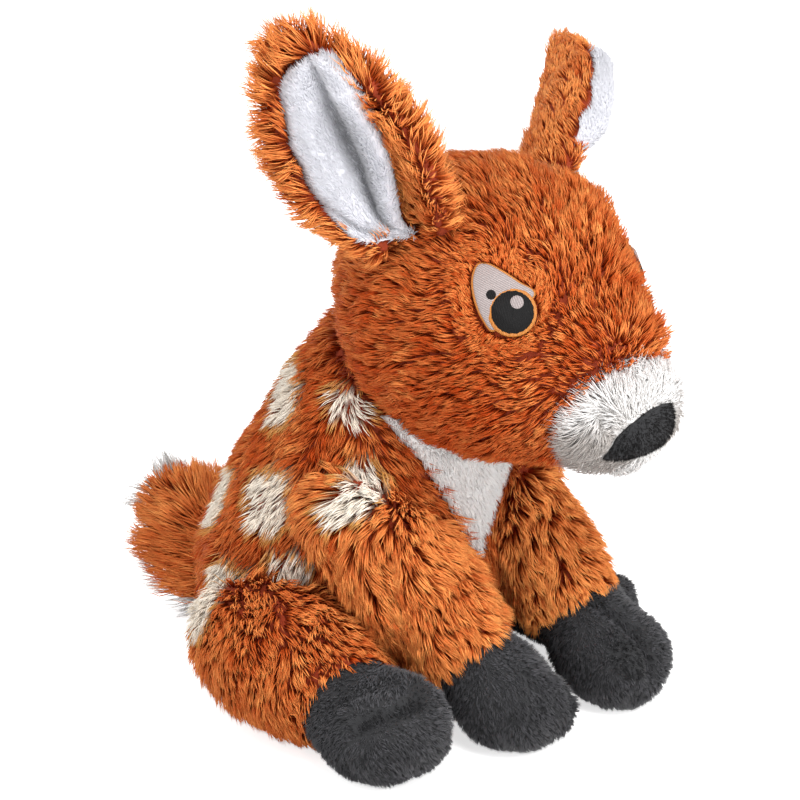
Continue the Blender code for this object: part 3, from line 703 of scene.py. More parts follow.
def strands(name, points, normals, lengths, body, pile, material, rng):
    """The mesh of strands that stand on these points."""
    count = len(points)
    flow = pile.flow(points, normals)
    flow = unit(flow - normals * dot(flow, normals))
    turn = pile.swirl * ripple(points, 0.020, 3) + rng.normal(0, pile.spread, count)
    across = np.cross(normals, flow)
    flow = flow * np.cos(turn)[:, None] + across * np.sin(turn)[:, None]
    lift = pile.lift * (1 + 0.25 * ripple(points, 0.013, 5) + rng.normal(0, 0.18, count))
    if pile.rise is not None:
        lift = lift * pile.rise(points, normals)
    lengths = lengths * (1 + rng.uniform(-0.22, 0.16, count))
    tips = points + lengths[:, None] * (flow * np.cos(lift)[:, None] + normals * np.sin(lift)[:, None])
    seeds = np.arange(0, count, pile.tuft)
    kd = KDTree(len(seeds))
    for k, i in enumerate(seeds):
        kd.insert(points[i], k)
    kd.balance()
    tuft = np.array([kd.find(p)[1] for p in points])
    gathered = tips[seeds][tuft]
    pull = pile.pull * rng.uniform(0.55, 1.25, count)
    tips = tips + (gathered - tips) * pull[:, None]
    reach = tips - points
    far = np.linalg.norm(reach, axis=1)
    shorten = np.minimum(1, lengths * 1.15 / np.maximum(far, 1e-9))
    tips = points + reach * shorten[:, None]
    bow = STRAND_BOW * lengths * (1 + rng.normal(0, 0.4, count))
    tips[:, 2] = np.maximum(tips[:, 2], FLOOR_GAP)
    mids = points + (tips - points) * MID_SHARE + normals * bow[:, None]
    mids[:, 2] = np.maximum(mids[:, 2], FLOOR_GAP)
    tone = 0.42 + 0.16 * rng.normal(0, 1, len(seeds))[tuft] + 0.10 * ripple(points, 0.030, 11)
    tone += rng.normal(0, 0.08, count)
    if pile.tone is not None:
        band = pile.tone(points + (tips - points) * SHOWN_SHARE, normals, np.clip(tone + pile.bias, 0, 1))
    else:
        band = PLAIN_BAND[0] + np.clip(tone, 0, 1) * (PLAIN_BAND[1] - PLAIN_BAND[0])
    obj = strand_mesh(name, points - normals * ROOT_DEPTH, mids, tips, pile, band, rng)
    dress(obj, material, body)
    return obj


def strand_mesh(name, starts, mids, tips, pile, band, rng):
    """Closed strands of three sides: with one joint in long pile, straight in short pile."""
    count = len(starts)
    along = unit(mids - starts)
    helper = unit(rng.normal(size=(count, 3)))
    side = unit(np.cross(along, helper))
    front = np.cross(along, side)
    width = pile.root / 2 * (1 + rng.normal(0, 0.18, count))

    def ring(centres, share):
        turns = [2 * pi * k / 3 for k in range(3)]
        return [centres + (side * cos(t) + front * sin(t)) * (width * share)[:, None] for t in turns]

    if pile.short:
        rings = [ring(starts, 1)]
    else:
        rings = [ring(starts, 1), ring(mids, MID_WIDTH_SHARE)]
    per = 3 * len(rings) + 1
    vertices = np.empty((count, per, 3), np.float32)
    for r, points in enumerate(rings):
        for k in range(3):
            vertices[:, 3 * r + k] = points[k]
    vertices[:, per - 1] = tips
    low, high = band - STRAND_BAND_WIDTH / 2, band + STRAND_BAND_WIDTH / 2
    faces = [((0, 2, 1), ((ROOT_U, 0), (CAP_U, 0), (ROOT_U, 1)))]
    last = len(rings) - 1
    mid_u = ROOT_U + (TIP_U - ROOT_U) * MID_SHARE
    for k in range(3):
        n = (k + 1) % 3
        if last:
            faces.append(((k, n, 3 + n), ((ROOT_U, 0), (ROOT_U, 1), (mid_u, 1))))
            faces.append(((k, 3 + n, 3 + k), ((ROOT_U, 0), (mid_u, 1), (mid_u, 0))))
        start_u = mid_u if last else ROOT_U
        faces.append(((3 * last + k, 3 * last + n, per - 1), ((start_u, 0), (start_u, 1), (TIP_U, 0.5))))
    index = np.array([f[0] for f in faces], np.int32)
    u = np.array([[c[0] for c in f[1]] for f in faces], np.float32)
    v = np.array([[c[1] for c in f[1]] for f in faces], np.float32)
    loops = (np.arange(count, dtype=np.int32)[:, None, None] * per + index[None]).ravel()
    uv = np.empty((count, len(faces), 3, 2), np.float32)
    uv[..., 0] = u[None]
    uv[..., 1] = low[:, None, None] + (high - low)[:, None, None] * v[None]
    mesh = bpy.data.meshes.new(name)
    mesh.vertices.add(count * per)
    mesh.vertices.foreach_set("co", vertices.ravel())
    mesh.loops.add(len(loops))
    mesh.loops.foreach_set("vertex_index", loops)
    mesh.polygons.add(len(loops) // 3)
    mesh.polygons.foreach_set("loop_start", np.arange(0, len(loops), 3, dtype=np.int32))
    mesh.update(calc_edges=True)
    layer = mesh.uv_layers.new(name="OFBake")
    layer.data.foreach_set("uv", uv.ravel())
    mesh.shade_smooth()
    obj = bpy.data.objects.new(name, mesh)
    bpy.context.scene.collection.objects.link(obj)
    return obj


def beyond_outline(across, up, outline, margin):
    """Whether places in a patch's plane lie outside its outline by more than a margin."""
    outline = np.array(outline)
    middle = outline.mean(axis=0)
    edge = outline - middle
    angles = np.arctan2(edge[:, 1], edge[:, 0])
    order = np.argsort(angles)
    radii = np.linalg.norm(edge, axis=1)
    angle = np.arctan2(up - middle[1], across - middle[0])
    reach = np.interp(angle, angles[order], radii[order], period=2 * pi)
    return np.hypot(across - middle[0], up - middle[1]) > reach + margin


def on_side(mirror):
    """Keeps the points of one side of the middle."""
    return lambda points, normals: points[:, 0] * mirror > 0


def towards(x, y, z):
    """Pile that lies in one direction."""
    direction = np.array([x, y, z], float)
    return lambda points, normals: np.tile(direction, (len(points), 1))


def rust_tone(points, normals, tone):
    return RUST_BAND[0] + tone * (RUST_BAND[1] - RUST_BAND[0])


def node_centre(name):
    low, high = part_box(name)
    return (low + high) / 2


def joint_place(body):
    """Where a body's joint sits on its parent."""
    return np.array(next(j["pos_m"] for j in frame["joints"] if j["child"] == body))


# Spots on the torso: place across, forward and up from the origin, half width and half height, and a turn
SPOTS = (
    ((-0.0370, 0.002, 0.1260), 0.0110, 0.0105, 15),
    ((-0.0430, -0.036, 0.1305), 0.0095, 0.0066, -10),
    ((-0.0570, -0.005, 0.0875), 0.0122, 0.0112, 12),
    ((-0.0577, -0.048, 0.1010), 0.0130, 0.0070, 35),
    ((-0.0450, 0.030, 0.0765), 0.0095, 0.0120, 0),
    ((-0.0610, -0.019, 0.0640), 0.0090, 0.0060, 0),
    ((-0.0180, 0.034, 0.1190), 0.0095, 0.0110, 0),
    ((-0.0190, 0.056, 0.0740), 0.0095, 0.0120, 0),
)

HIP_SPOT = ((-0.0720, 0.0135, 0.0455), 0.0135, 0.0120, 0)


def spot_bands(points, normals, tone, spots=SPOTS):
    """Tone bands of printed pile: cream inside a spot, tan at its edge and rust elsewhere."""
    band = rust_tone(points, normals, tone)
    nearest = np.full(len(points), FAR_AWAY)
    for mirror in (1, -1):
        for (x, y, z), half_wide, half_tall, turn in spots:
            centre = np.array([x * mirror, y, z])
            out = unit(np.array([[centre[0], centre[1], 0.0]]))[0]
            side = np.array([-out[1], out[0], 0.0]) * mirror
            up = np.array([0.0, 0.0, 1.0])
            offset = points - centre
            a = offset @ side
            b = offset @ up
            t = radians(turn)
            p = (a * cos(t) + b * sin(t)) / half_wide
            q = (-a * sin(t) + b * cos(t)) / half_tall
            far = (np.abs(p) ** 2.6 + np.abs(q) ** 2.6) ** (1 / 2.6) / 1.12
            facing = (offset @ out) > -0.02
            nearest = np.minimum(nearest, np.where(facing, far, FAR_AWAY))
    nearest = nearest + 0.10 * ripple(points, 0.009, 23)
    cream = CREAM_BAND[0] + tone * (CREAM_BAND[1] - CREAM_BAND[0])
    tan = TAN_BAND[0] + tone * (TAN_BAND[1] - TAN_BAND[0])
    return np.where(nearest < 0.9, cream, np.where(nearest < 1.12, tan, band))


def torso_bands(points, normals, tone):
    return spot_bands(points, normals, tone, (*SPOTS, HIP_SPOT))


def hip_bands(points, normals, tone):
    return spot_bands(points, normals, tone, (HIP_SPOT,))


def rust_backing():
    c = bpy.context.scene.fawn_colours
    # Painted shade: the backing drawn darker than the rust roots, for the gaps between the strands.
    dark, light = mixed(BLACK, c.rust_root, 0.65), mixed(BLACK, c.rust_root, 0.9)
    return backing_material("knit_backing_rust", dark, light)


def white_backing():
    c = bpy.context.scene.fawn_colours
    return backing_material("knit_backing_white", c.white_root, c.white)


def lining_backing():
    c = bpy.context.scene.fawn_colours
    # Painted shade: the backing's dark end drawn below the lining's colour, for the gaps between the strands.
    return backing_material("knit_backing_lining", mixed(BLACK, c.lining, 0.9), c.lining)


def black_backing():
    c = bpy.context.scene.fawn_colours
    # Painted shade: the backing's dark end drawn below the hoof roots' colour, for the gaps between the strands.
    return backing_material("knit_backing_black", mixed(BLACK, c.black_root, 0.8), c.black_root)


class FAWN_OT_torso(bpy.types.Operator):
    """Stuffed torso with its spotted long pile and the white bib"""

    bl_idname = "fawn.torso"
    bl_label = "Torso and bib"

    def execute(self, context):
        sizes = context.scene.fawn_pile
        skin = stuffed("torso_skin", ["torso_cover", "torso_filling"], 0.0035)
        slacken(skin, SLACK)
        puffed(skin, CLOTH_CAP)
        bib = stuffed("bib_skin", ["chest_bib"], 0.0014, 4)
        bib_tree = tree_of([NODES["chest_bib"]])
        dress(bib, white_backing(), "torso", ["chest_bib"])
        dress(skin, rust_backing(), "torso", ["torso_cover", "torso_filling"])

        def off_bib(points, normals):
            under = covered(bib_tree, points, normals, np.full(len(points), 0.010))
            return ~under & (distances(bib_tree, points, 0.005) > 0.0006) & (points[:, 2] > 0.0035)

        def outer(points, normals):
            return normals[:, 1] < -0.2

        def lie(points, normals):
            out = normals * [1, 1, 0]
            height = smooth_step(0.02, 0.05, points[:, 2]) * smooth_step(0.135, 0.110, points[:, 2])
            seam = smooth_step(0.012, 0.006, distances(bib_tree, points, 0.013))
            front = np.maximum(smooth_step(0.1, 0.8, -normals[:, 1]) * height, seam)[:, None]
            inward = np.stack([-np.sign(points[:, 0]), -0.3 * np.ones(len(points)), np.zeros(len(points))], axis=1)
            return np.array([0, 0.25, -1.0]) + 0.25 * out + 1.5 * front * inward

        pile = Pile(sizes.torso, sizes.long_density * 0.83, lie, 34, tone=torso_bands, bias=-0.04, gap=0.0016)
        for side, mirror in SIDES:
            for panel, ahead in (("front", 1), ("back", -1)):

                def inside(points, normals, mirror=mirror, ahead=ahead):
                    here = (points[:, 0] * mirror > 0) & ((TORSO_MIDDLE - points[:, 1]) * ahead > 0)
                    return here & off_bib(points, normals)

                name = f"torso_pile_{side}_{panel}"
                grow(name, skin, "torso", pile, rust_pile(), inside, 10 + mirror)
        short = Pile(
            sizes.bib, sizes.short_density * 1.6, towards(0, 0, -1), 36,
            short=True, root=SHORT_STRAND_ROOT, gap=0, tuft=5, pull=0.4, bias=0.5, swirl=12,
        )
        grow("bib_pile", bib, "torso", short, white_pile(), outer, 14)
        return {"FINISHED"}


class FAWN_OT_head(bpy.types.Operator):
    """Stuffed head with the pile swept back from the nose"""

    bl_idname = "fawn.head"
    bl_label = "Head"

    def execute(self, context):
        sizes = context.scene.fawn_pile
        skin = stuffed("head_skin", ["head_cover", "head_filling"])
        nose = np.array(node_centre("nose_pad"))
        eyes = tree_of([bpy.data.objects[f"{s}_eye_{a}_stitches"] for s, _ in SIDES for a in EYE_AREAS])
        centres = [np.array(node_centre(f"{s}_eye_ring")) for s, _ in SIDES]
        muzzle = tree_of([NODES["muzzle_cover"]])
        slacken(skin, lambda points: SLACK * np.clip(distances(eyes, points, 0.02) / 0.02, 0, 1))
        puffed(skin, CLOTH_CAP)
        for _, mirror in SIDES:
            press(
                skin,
                ((mirror * 0.024, -0.124, 0.176), 0.018, (-mirror * 0.0030, 0.0010, -0.0010)),
                ((mirror * 0.012, -0.134, 0.166), 0.024, (mirror * 0.0016, -0.0040, 0.0045)),
                ((mirror * 0.034, -0.094, 0.212), 0.024, (mirror * 0.0030, -0.0022, 0.0010)),
            )
        slacken(skin, lambda points: EYE_SINK * smooth_step(0.0050, 0.0015, distances(eyes, points, 0.006)))
        dress(skin, rust_backing(), "head", ["head_cover", "head_filling"])

        def lie(points, normals):
            flow = unit(points - nose) + np.array([0, 0, -0.35])
            near = np.clip(1 - distances(eyes, points, 0.010) / 0.008, 0, 1)[:, None]
            for centre in centres:
                close = np.linalg.norm(points - centre, axis=1)[:, None] < 0.04
                flow = flow + np.where(close, unit(points - centre) * near * 1.2, 0)
            return flow

        patches = [Patch(s, m, None) for s, m in SIDES]
        linings = tree_of([NODES[f"{s}_ear_lining"] for s, _ in SIDES])

        def off_eyes(points, normals):
            clear = (distances(muzzle, points, 0.003) > 0.0012) & (distances(linings, points, 0.006) > 0.0045)
            for patch in patches:
                offset = points - np.array(patch.middle)
                across, up = offset @ np.array(patch.back), offset @ np.array(patch.up)
                near = np.linalg.norm(offset, axis=1) < 0.03
                for outline in eye_outlines(patch.radius):
                    clear &= ~near | beyond_outline(across, up, outline, 0.0002)
            return clear

        def fuller(points):
            return sum(np.exp(-((np.linalg.norm(points - np.array(p), axis=1) / 0.018) ** 2)) for p in FULL_PILE)

        def lengths(points, normals):
            near_eye = distances(eyes, points, 0.012) / 0.012
            snout = np.clip(np.linalg.norm(points - nose, axis=1) / 0.07, 0, 1)
            return np.minimum(0.48 + 0.52 * near_eye, 0.62 + 0.38 * snout) * (1 + 0.22 * fuller(points))

        def rise(points, normals):
            return 1 + 0.35 * fuller(points)

        def by_eyes(points, normals):
            return off_eyes(points, normals) & (distances(eyes, points, 0.008) < 0.007)

        def paler_above(points, normals, tone):
            # Painted light: the pile's tones grow lighter towards the top of the head, where the light from above
            # falls.
            rise = np.clip((points[:, 2] - 0.150) / 0.06, 0, 1)
            return rust_tone(points, normals, np.clip(tone - 0.12 + 0.24 * rise, 0, 1))

        pile = Pile(
            sizes.head, sizes.long_density * 0.94, lie, 36, tone=paler_above, scale=lengths, rise=rise, gap=0.0012
        )
        for side, mirror in SIDES:

            def keep(points, normals, half=on_side(mirror)):
                return half(points, normals) & off_eyes(points, normals)

            grow(f"head_pile_{side}", skin, "head", pile, rust_pile(), keep, 20 + mirror)
        fringe = Pile(
            sizes.head * 0.55, sizes.long_density * 2.6, lie, 30, tone=paler_above, root=SHORT_STRAND_ROOT, spread=20
        )
        grow("eye_fringe_pile", skin, "head", fringe, rust_pile(), by_eyes, 26)
        return {"FINISHED"}


class FAWN_OT_muzzle(bpy.types.Operator):
    """White muzzle whose long pile radiates from a gather on each side, with the nose on its front"""

    bl_idname = "fawn.muzzle"
    bl_label = "Muzzle and nose"

    def execute(self, context):
        sizes = context.scene.fawn_pile
        skin = stuffed("muzzle_skin", ["muzzle_cover", "muzzle_filling"], 0.002)
        head_tree = tree_of([NODES["head_cover"]])
        nose_middle = np.array([-0.0033, -0.1500, 0.1385])
        gathers = [np.array([mirror * 0.0205, -0.1405, 0.1475]) for _, mirror in SIDES]
        slacken(skin, 0.0008)
        puffed(skin, 0.0012)
        for gather in gathers:
            crease(skin, [gather + [0, 0, 0.002], gather - [0, 0, 0.004]], 0.0035, 0.0030)
        dress(skin, white_backing(), "head", ["muzzle_cover", "muzzle_filling"])
        patch = NosePatch(tree_of([skin]))
        outline = smooth_outline(NOSE_OUTLINE, 72)
        nose = stitched(
            "nose_skin", patch, outline, 0.0012, 0.0016, 0.0008, 0, black_backing(), "head", "nose_pad"
        )
        nose_tree = tree_of([nose])

        def lie(points, normals):
            offsets = [points - g for g in gathers]
            near = np.argmin([np.linalg.norm(o, axis=1) for o in offsets], axis=0)
            chosen = unit(np.where(near[:, None] == 0, offsets[0], offsets[1]))
            close = np.clip(1 - distances(nose_tree, points, 0.012) / 0.010, 0, 1)[:, None]
            outward = unit(points - nose_middle) * (0.45 + close * 1.1)
            return chosen * (1 - close) * 0.75 + outward + np.array([0, 0.15, 0])

        def off_nose(points, normals):
            clear = beyond_outline(points[:, 0], points[:, 2], outline, 0.0) | (points[:, 1] > -0.138)
            return clear & (distances(head_tree, points, 0.002) > 0.0011)

        def shorter(points, normals):
            return 0.42 + 0.72 * distances(nose_tree, points, 0.014) / 0.014

        def greyer_below(points, normals, tone):
            low = np.clip((0.1480 - points[:, 2]) / 0.015, 0, 1)
            side = low * np.clip((np.abs(points[:, 0]) - 0.005) / 0.010, 0, 1)
            share = np.clip(0.50 + tone * 0.6 - 1.15 * side, 0, 1)
            return PLAIN_BAND[0] + share * (PLAIN_BAND[1] - PLAIN_BAND[0])

        pile = Pile(
            sizes.muzzle, sizes.long_density * 2.6, lie, 27,
            gap=0, tuft=7, pull=0.32, scale=shorter, tone=greyer_below, root=0.00050, swirl=34, spread=22,
        )
        grow("muzzle_pile", skin, "head", pile, muzzle_pile(), off_nose, 30)
        short = Pile(
            sizes.nose, sizes.short_density * 2.2, towards(0, 0.3, -1), 50,
            short=True, root=0.00045, gap=0, tuft=4, pull=0.3,
        )

        def front(points, normals):
            return normals[:, 1] < 0.2

        grow("nose_pile_short", nose, "head", short, nose_pile(), front, 33)
        return {"FINISHED"}


class EarFrame:
    """One ear's seat and its directions along, across towards its front edge, and out of its cup."""

    def __init__(self, side):
        lining = np.array([v.co for v in NODES[f"{side}_ear_lining"].data.vertices])
        back = np.array([v.co for v in NODES[f"{side}_ear_back"].data.vertices])
        self.seat = joint_place(f"{side}_ear")
        axes = np.linalg.svd(lining - lining.mean(axis=0))[2]
        self.along = axes[0] * np.sign(axes[0] @ (lining.mean(axis=0) - self.seat))
        face = axes[2] * -np.sign(axes[2][1])
        self.across = np.cross(self.along, face)
        self.across *= -np.sign(self.across[1])
        self.face = face
        local = self.local(back)
        bins = np.linspace(local[:, 0].min(), local[:, 0].max(), 13)
        self.lengths, self.widths, self.rims = [], [], []
        for low, high in zip(bins[:-1], bins[1:]):
            part = local[(local[:, 0] >= low - 0.004) & (local[:, 0] <= high + 0.004)]
            if len(part):
                self.lengths.append((low + high) / 2)
                self.widths.append(np.abs(part[:, 1]).max())
                self.rims.append(part[:, 2].max())
        self.tip = local[:, 0].max()

    def local(self, points):
        offset = points - self.seat
        return np.stack([offset @ self.along, offset @ self.across, offset @ self.face], axis=1)

    def point(self, along, across, out):
        return self.seat + self.along * along + self.across * across + self.face * out

    def width(self, along):
        return np.interp(along, self.lengths, self.widths)

    def rim(self, along):
        return np.interp(along, self.lengths, self.rims)


def smooth_step(low, high, value):
    share = np.clip((value - low) / (high - low), 0, 1)
    return share * share * (3 - 2 * share)


# The lining's outline: how far along the ear, and its back and front edges across it
LINING_OUTLINE = (
    (-0.0005, -0.0010, 0.0010),
    (0.0060, -0.0120, -0.0020),
    (0.0140, -0.0165, 0.0010),
    (0.0275, -0.0193, 0.0068),
    (0.0410, -0.0203, 0.0120),
    (0.0570, -0.0182, 0.0147),
    (0.0705, -0.0142, 0.0155),
    (0.0780, -0.0112, 0.0145),
    (0.0825, -0.0075, 0.0130),
    (0.0852, -0.0025, 0.0100),
)


def lining_reach(wrap):
    """How much of its outline's length a lining keeps: the one drawn over its rim is pulled down by it."""
    return 0.95 - 0.10 * wrap


def lining_edges(ear, along, wrap):
    """A lining's back and front edges across the ear; wrap takes the front edge over the rim."""
    table = np.array(LINING_OUTLINE)
    reach = table[:, 0] * lining_reach(wrap)
    left, right = np.interp(along, reach, table[:, 1]), np.interp(along, reach, table[:, 2])
    share = wrap * smooth_step(0.000, 0.007, along) * smooth_step(0.0630, 0.0480, along)
    return left, right + (ear.width(along) + 0.0012 - right) * share


def evened(heights, passes):
    """A grid of heights with each drawn towards its neighbours."""
    for _ in range(passes):
        around = np.pad(heights, 1, mode="edge")
        sides = around[:-2, 1:-1] + around[2:, 1:-1] + around[1:-1, :-2] + around[1:-1, 2:]
        heights = heights / 2 + sides / 8
    return heights


def cupped_lining(name, ear, nodes, roll, wrap):
    """A padded lining: it falls gently from the back edge to a deep fold beside a thick roll at the front edge."""
    rows, columns, thickness = 46, 36, 0.0016
    start, end = LINING_OUTLINE[0][0], LINING_OUTLINE[-1][0] * lining_reach(wrap)
    base = tree_of([NODES[n] for n in nodes])
    shares = np.linspace(0, 1, columns + 1)
    grid = np.zeros((rows + 1, columns + 1, 3))
    for i in range(rows + 1):
        along = start + (end - start) * (1 - (1 - i / rows) ** 1.25)
        left, right = lining_edges(ear, along, wrap)
        for j, share in enumerate(shares):
            across = left + (right - left) * share
            hit = base.ray_cast(Vector(ear.point(along, across, 0.05)), Vector(-ear.face))[0]
            ground = ear.local(np.array(hit)[None])[0, 2] if hit is not None else ear.rim(along) * 0.5
            grid[i, j] = along, across, ground
    full = smooth_step(0.0, 0.020, grid[:, :1, 0]) * smooth_step(0.0900, 0.0660, grid[:, :1, 0])
    crown = 0.0050 * np.interp(shares, (0, 0.10, 0.24, 0.38, 0.56), (0.15, 0.60, 1.0, 0.75, 0.0))[None]
    raised = roll * (smooth_step(0.72, 0.85, shares) * (1 - 0.60 * smooth_step(0.90, 1.0, shares)))[None]
    tuck = 0.0034 * np.exp(-(((shares - 0.80) / 0.07) ** 2))[None]
    grid[..., 1] -= tuck * full
    grid[..., 2] = evened(grid[..., 2], 4) + 0.0010 + (crown + raised) * full
    top = [ear.point(*place) for place in grid.reshape(-1, 3)]
    bottom = [ear.point(along, across, out - thickness) for along, across, out in grid.reshape(-1, 3)]
    wide = columns + 1
    count = len(top)
    faces = []
    for i in range(rows):
        for j in range(columns):
            a, b, c, d = i * wide + j, i * wide + j + 1, (i + 1) * wide + j + 1, (i + 1) * wide + j
            faces.append((a, b, c, d))
            faces.append((count + d, count + c, count + b, count + a))
    edge = [j for j in range(wide)] + [i * wide + columns for i in range(1, rows + 1)]
    edge += [rows * wide + j for j in range(columns - 1, -1, -1)] + [i * wide for i in range(rows - 1, 0, -1)]
    for a, b in zip(edge, edge[1:] + edge[:1]):
        faces.append((b, a, count + a, count + b))
    mesh = bpy.data.meshes.new(name)
    mesh.from_pydata([tuple(p) for p in top + bottom], [], faces)
    obj = bpy.data.objects.new(name, mesh)
    bpy.context.scene.collection.objects.link(obj)
    edit(
        obj,
        lambda: bpy.ops.mesh.remove_doubles(threshold=WELD),
        lambda: bpy.ops.mesh.normals_make_consistent(inside=False),
    )
    apply_modifier(obj, "soften", "SMOOTH", factor=0.5, iterations=4)
    mesh.shade_smooth()
    return obj


class FAWN_OT_ears(bpy.types.Operator):
    """Cupped ears: long spiky pile behind, short white pile inside"""

    bl_idname = "fawn.ears"
    bl_label = "Ears"

    def execute(self, context):
        sizes = context.scene.fawn_pile
        for side, mirror in SIDES:
            body = f"{side}_ear"
            ear = EarFrame(side)
            back = stuffed(f"{side}_ear_skin", [f"{side}_ear_back"], 0.0018, 4)
            if mirror > 0:
                points = surface_of(back)[0]
                along, across, _ = ear.local(points).T
                inward = 0.30 * np.minimum(across, 0) * smooth_step(0.045, 0.080, along)
                down = 0.22 * np.maximum(along - 0.030, 0)
                set_points(back, points - ear.along * down[:, None] - ear.across * inward[:, None])
            roll, wrap = (0.0066, 0.0) if mirror < 0 else (0.0046, 1.0)
            nodes = [f"{side}_ear_back", f"{side}_ear_lining"]
            lining = cupped_lining(f"{side}_ear_lining_skin", ear, nodes, roll, wrap)
            dress(back, rust_backing(), body, [f"{side}_ear_back"])
            dress(lining, lining_backing(), body, [f"{side}_ear_lining"])
            lining_tree = tree_of([lining])

            def lie(points, normals, ear=ear):
                local = ear.local(points)
                edge = smooth_step(0.5, 0.95, np.abs(local[:, 1]) / ear.width(local[:, 0]))
                tip = smooth_step(ear.tip - 0.025, ear.tip, local[:, 0])
                aside = np.clip(local[:, 1] / 0.010, -1, 1) * (0.25 + 1.1 * edge * (1 - tip))
                over = np.clip(normals @ ear.across, 0, 1) * smooth_step(0.008, 0.014, local[:, 1]) * (1 - tip)
                flow = ear.along * (1.0 - 0.45 * edge * (1 - tip))[:, None] + ear.across * aside[:, None]
                return flow - ear.face * (1.2 * over)[:, None]

            def behind(points, normals, ear=ear, tree=lining_tree):
                facing = normals @ ear.face
                reach = np.where(facing > 0.3, 0.020, np.where(facing > -0.3, 0.004, 0.0001))
                under = covered(tree, points, np.tile(ear.face, (len(points), 1)), reach)
                along, across, out = ear.local(points).T
                bare = (wrap > 0) & (across > 0) & (out > ear.rim(along) - 0.0028) & (along > 0.016) & (along < 0.056)
                return ~under & ~bare & (distances(tree, points, 0.003) > 0.0005)

            def lengths(points, normals, ear=ear, mirror=mirror):
                along = ear.local(points)[:, 0]
                if mirror < 0:
                    return np.interp(along, (0.0, 0.02, 0.06, 0.088), (0.80, 1.10, 1.25, 1.40))
                behind = smooth_step(0.3, -0.3, normals @ ear.face) * smooth_step(0.3, -0.5, normals @ ear.across)
                low = np.interp(along, (0.0, 0.01, 0.03, 0.055, 0.080), (1.0, 1.50, 1.40, 0.80, 0.45))
                tuft = 0.60 * smooth_step(ear.tip - 0.024, ear.tip - 0.012, along)
                return behind * low + (1 - behind) * 0.55 + tuft

            pile = Pile(
                sizes.ear, sizes.long_density * 1.1, lie, 26,
                tone=rust_tone, scale=lengths, bias=0.40, pull=0.55, gap=0.0010,
            )
            grow(f"{side}_ear_pile", back, body, pile, rust_pile(), behind, 40 + mirror)

            def upper(points, normals, ear=ear):
                return (normals @ ear.face > 0.0) | (np.abs(normals @ ear.across) > 0.6)

            def shaded(points, normals, tone, ear=ear, wrap=wrap):
                along, across, _ = ear.local(points).T
                left, right = lining_edges(ear, along, wrap)
                share = (across - left) / np.maximum(right - left, 0.001)
                # Painted shade: strands in the fold beside the front roll take a darker tone for the cup's shadow.
                fold = np.exp(-(((share - 0.63) / 0.13) ** 2)) * smooth_step(0.004, 0.020, along)
                tone = 0.66 + 0.22 * tone - 0.60 * fold * smooth_step(0.080, 0.050, along)
                return PLAIN_BAND[0] + np.clip(tone, 0, 1) * (PLAIN_BAND[1] - PLAIN_BAND[0])

            short = Pile(
                sizes.lining, sizes.short_density * 2.3, lie, 24, tone=shaded,
                short=True, root=0.00062, gap=0, tuft=3, pull=0.12, swirl=10, spread=6,
            )
            grow(f"{side}_ear_lining_pile", lining, body, short, lining_pile(), upper, 44 + mirror)
        return {"FINISHED"}


def seam_plane(leg_node, hoof_node):
    """The plane in which a leg's cover meets its hoof, with its normal towards the hoof."""
    tree = tree_of([NODES[hoof_node]])
    points = np.array([v.co for v in NODES[leg_node].data.vertices])
    near = points[distances(tree, points, 0.001) < SEAM_REACH]
    middle = near.mean(axis=0)
    normal = np.linalg.svd(near - middle)[2][2]
    hoof = np.array(node_centre(hoof_node))
    if normal @ (hoof - middle) < 0:
        normal = -normal
    return Vector(middle), Vector(normal)


def cut_at(obj, place, normal):
    """Cuts away what lies on the normal's side of a plane and closes the cut."""
    step = lambda: bpy.ops.mesh.bisect(
        plane_co=place, plane_no=normal, use_fill=True, clear_outer=True, clear_inner=False, threshold=0.00001
    )
    edit(obj, step)


# Each hoof's crease as a broken line, its presses, and its round patches of darker pile; the pile along the crease is
# darkened too, painted shade
HOOF_SHAPES = {
    "right_hindhoof": {
        "crease": [
            (-0.0950, -0.0833, 0.0300),
            (-0.0878, -0.0900, 0.0338),
            (-0.0815, -0.0931, 0.0345),
            (-0.0717, -0.0940, 0.0345),
            (-0.0642, -0.0870, 0.0350),
        ],
        "width": 0.0024,
        "depth": 0.0052,
        "presses": [
            ((-0.080, -0.088, 0.044), 0.018, (0.0, -0.0010, 0.0020)),
            ((-0.060, -0.098, 0.018), 0.026, (0.0026, -0.0036, 0.0)),
            ((-0.058, -0.084, 0.034), 0.022, (0.0034, -0.0028, 0.0034)),
        ],
        "dark": [],
    },
    "left_hindhoof": {
        "crease": [
            (0.0814, -0.0712, 0.0315),
            (0.0758, -0.0760, 0.0333),
            (0.0697, -0.0781, 0.0341),
            (0.0603, -0.0798, 0.0326),
            (0.0530, -0.0770, 0.0290),
        ],
        "presses": [((0.066, -0.070, 0.022), 0.036, (0.0030, -0.0060, 0.0))],
        "dark": [],
    },
    "right_forehoof": {
        "crease": [
            (-0.0130, -0.0980, 0.0470),
            (-0.0090, -0.1080, 0.0400),
            (-0.0065, -0.1180, 0.0280),
            (-0.0080, -0.1215, 0.0140),
        ],
        "presses": [
            ((-0.006, -0.116, 0.012), 0.020, (0.0040, -0.0042, -0.0005)),
            ((-0.030, -0.112, 0.036), 0.020, (-0.0010, -0.0020, 0.0015)),
        ],
        "dark": [],
    },
    "left_forehoof": {
        "crease": [
            (0.0250, -0.1000, 0.0465),
            (0.0310, -0.1100, 0.0409),
            (0.0340, -0.1148, 0.0372),
            (0.0350, -0.1201, 0.0326),
            (0.0345, -0.1255, 0.0270),
            (0.0330, -0.1291, 0.0176),
        ],
        "width": 0.0036,
        "depth": 0.0070,
        "presses": [
            ((0.048, -0.116, 0.024), 0.018, (0.0030, -0.0025, 0.0)),
            ((0.018, -0.122, 0.020), 0.014, (-0.0010, -0.0020, 0.0)),
        ],
        "dark": [((0.0240, -0.1245, 0.0272), 0.0088)],
    },
}
CREASE_WIDTH = 0.0034
CREASE_DEPTH = 0.0062


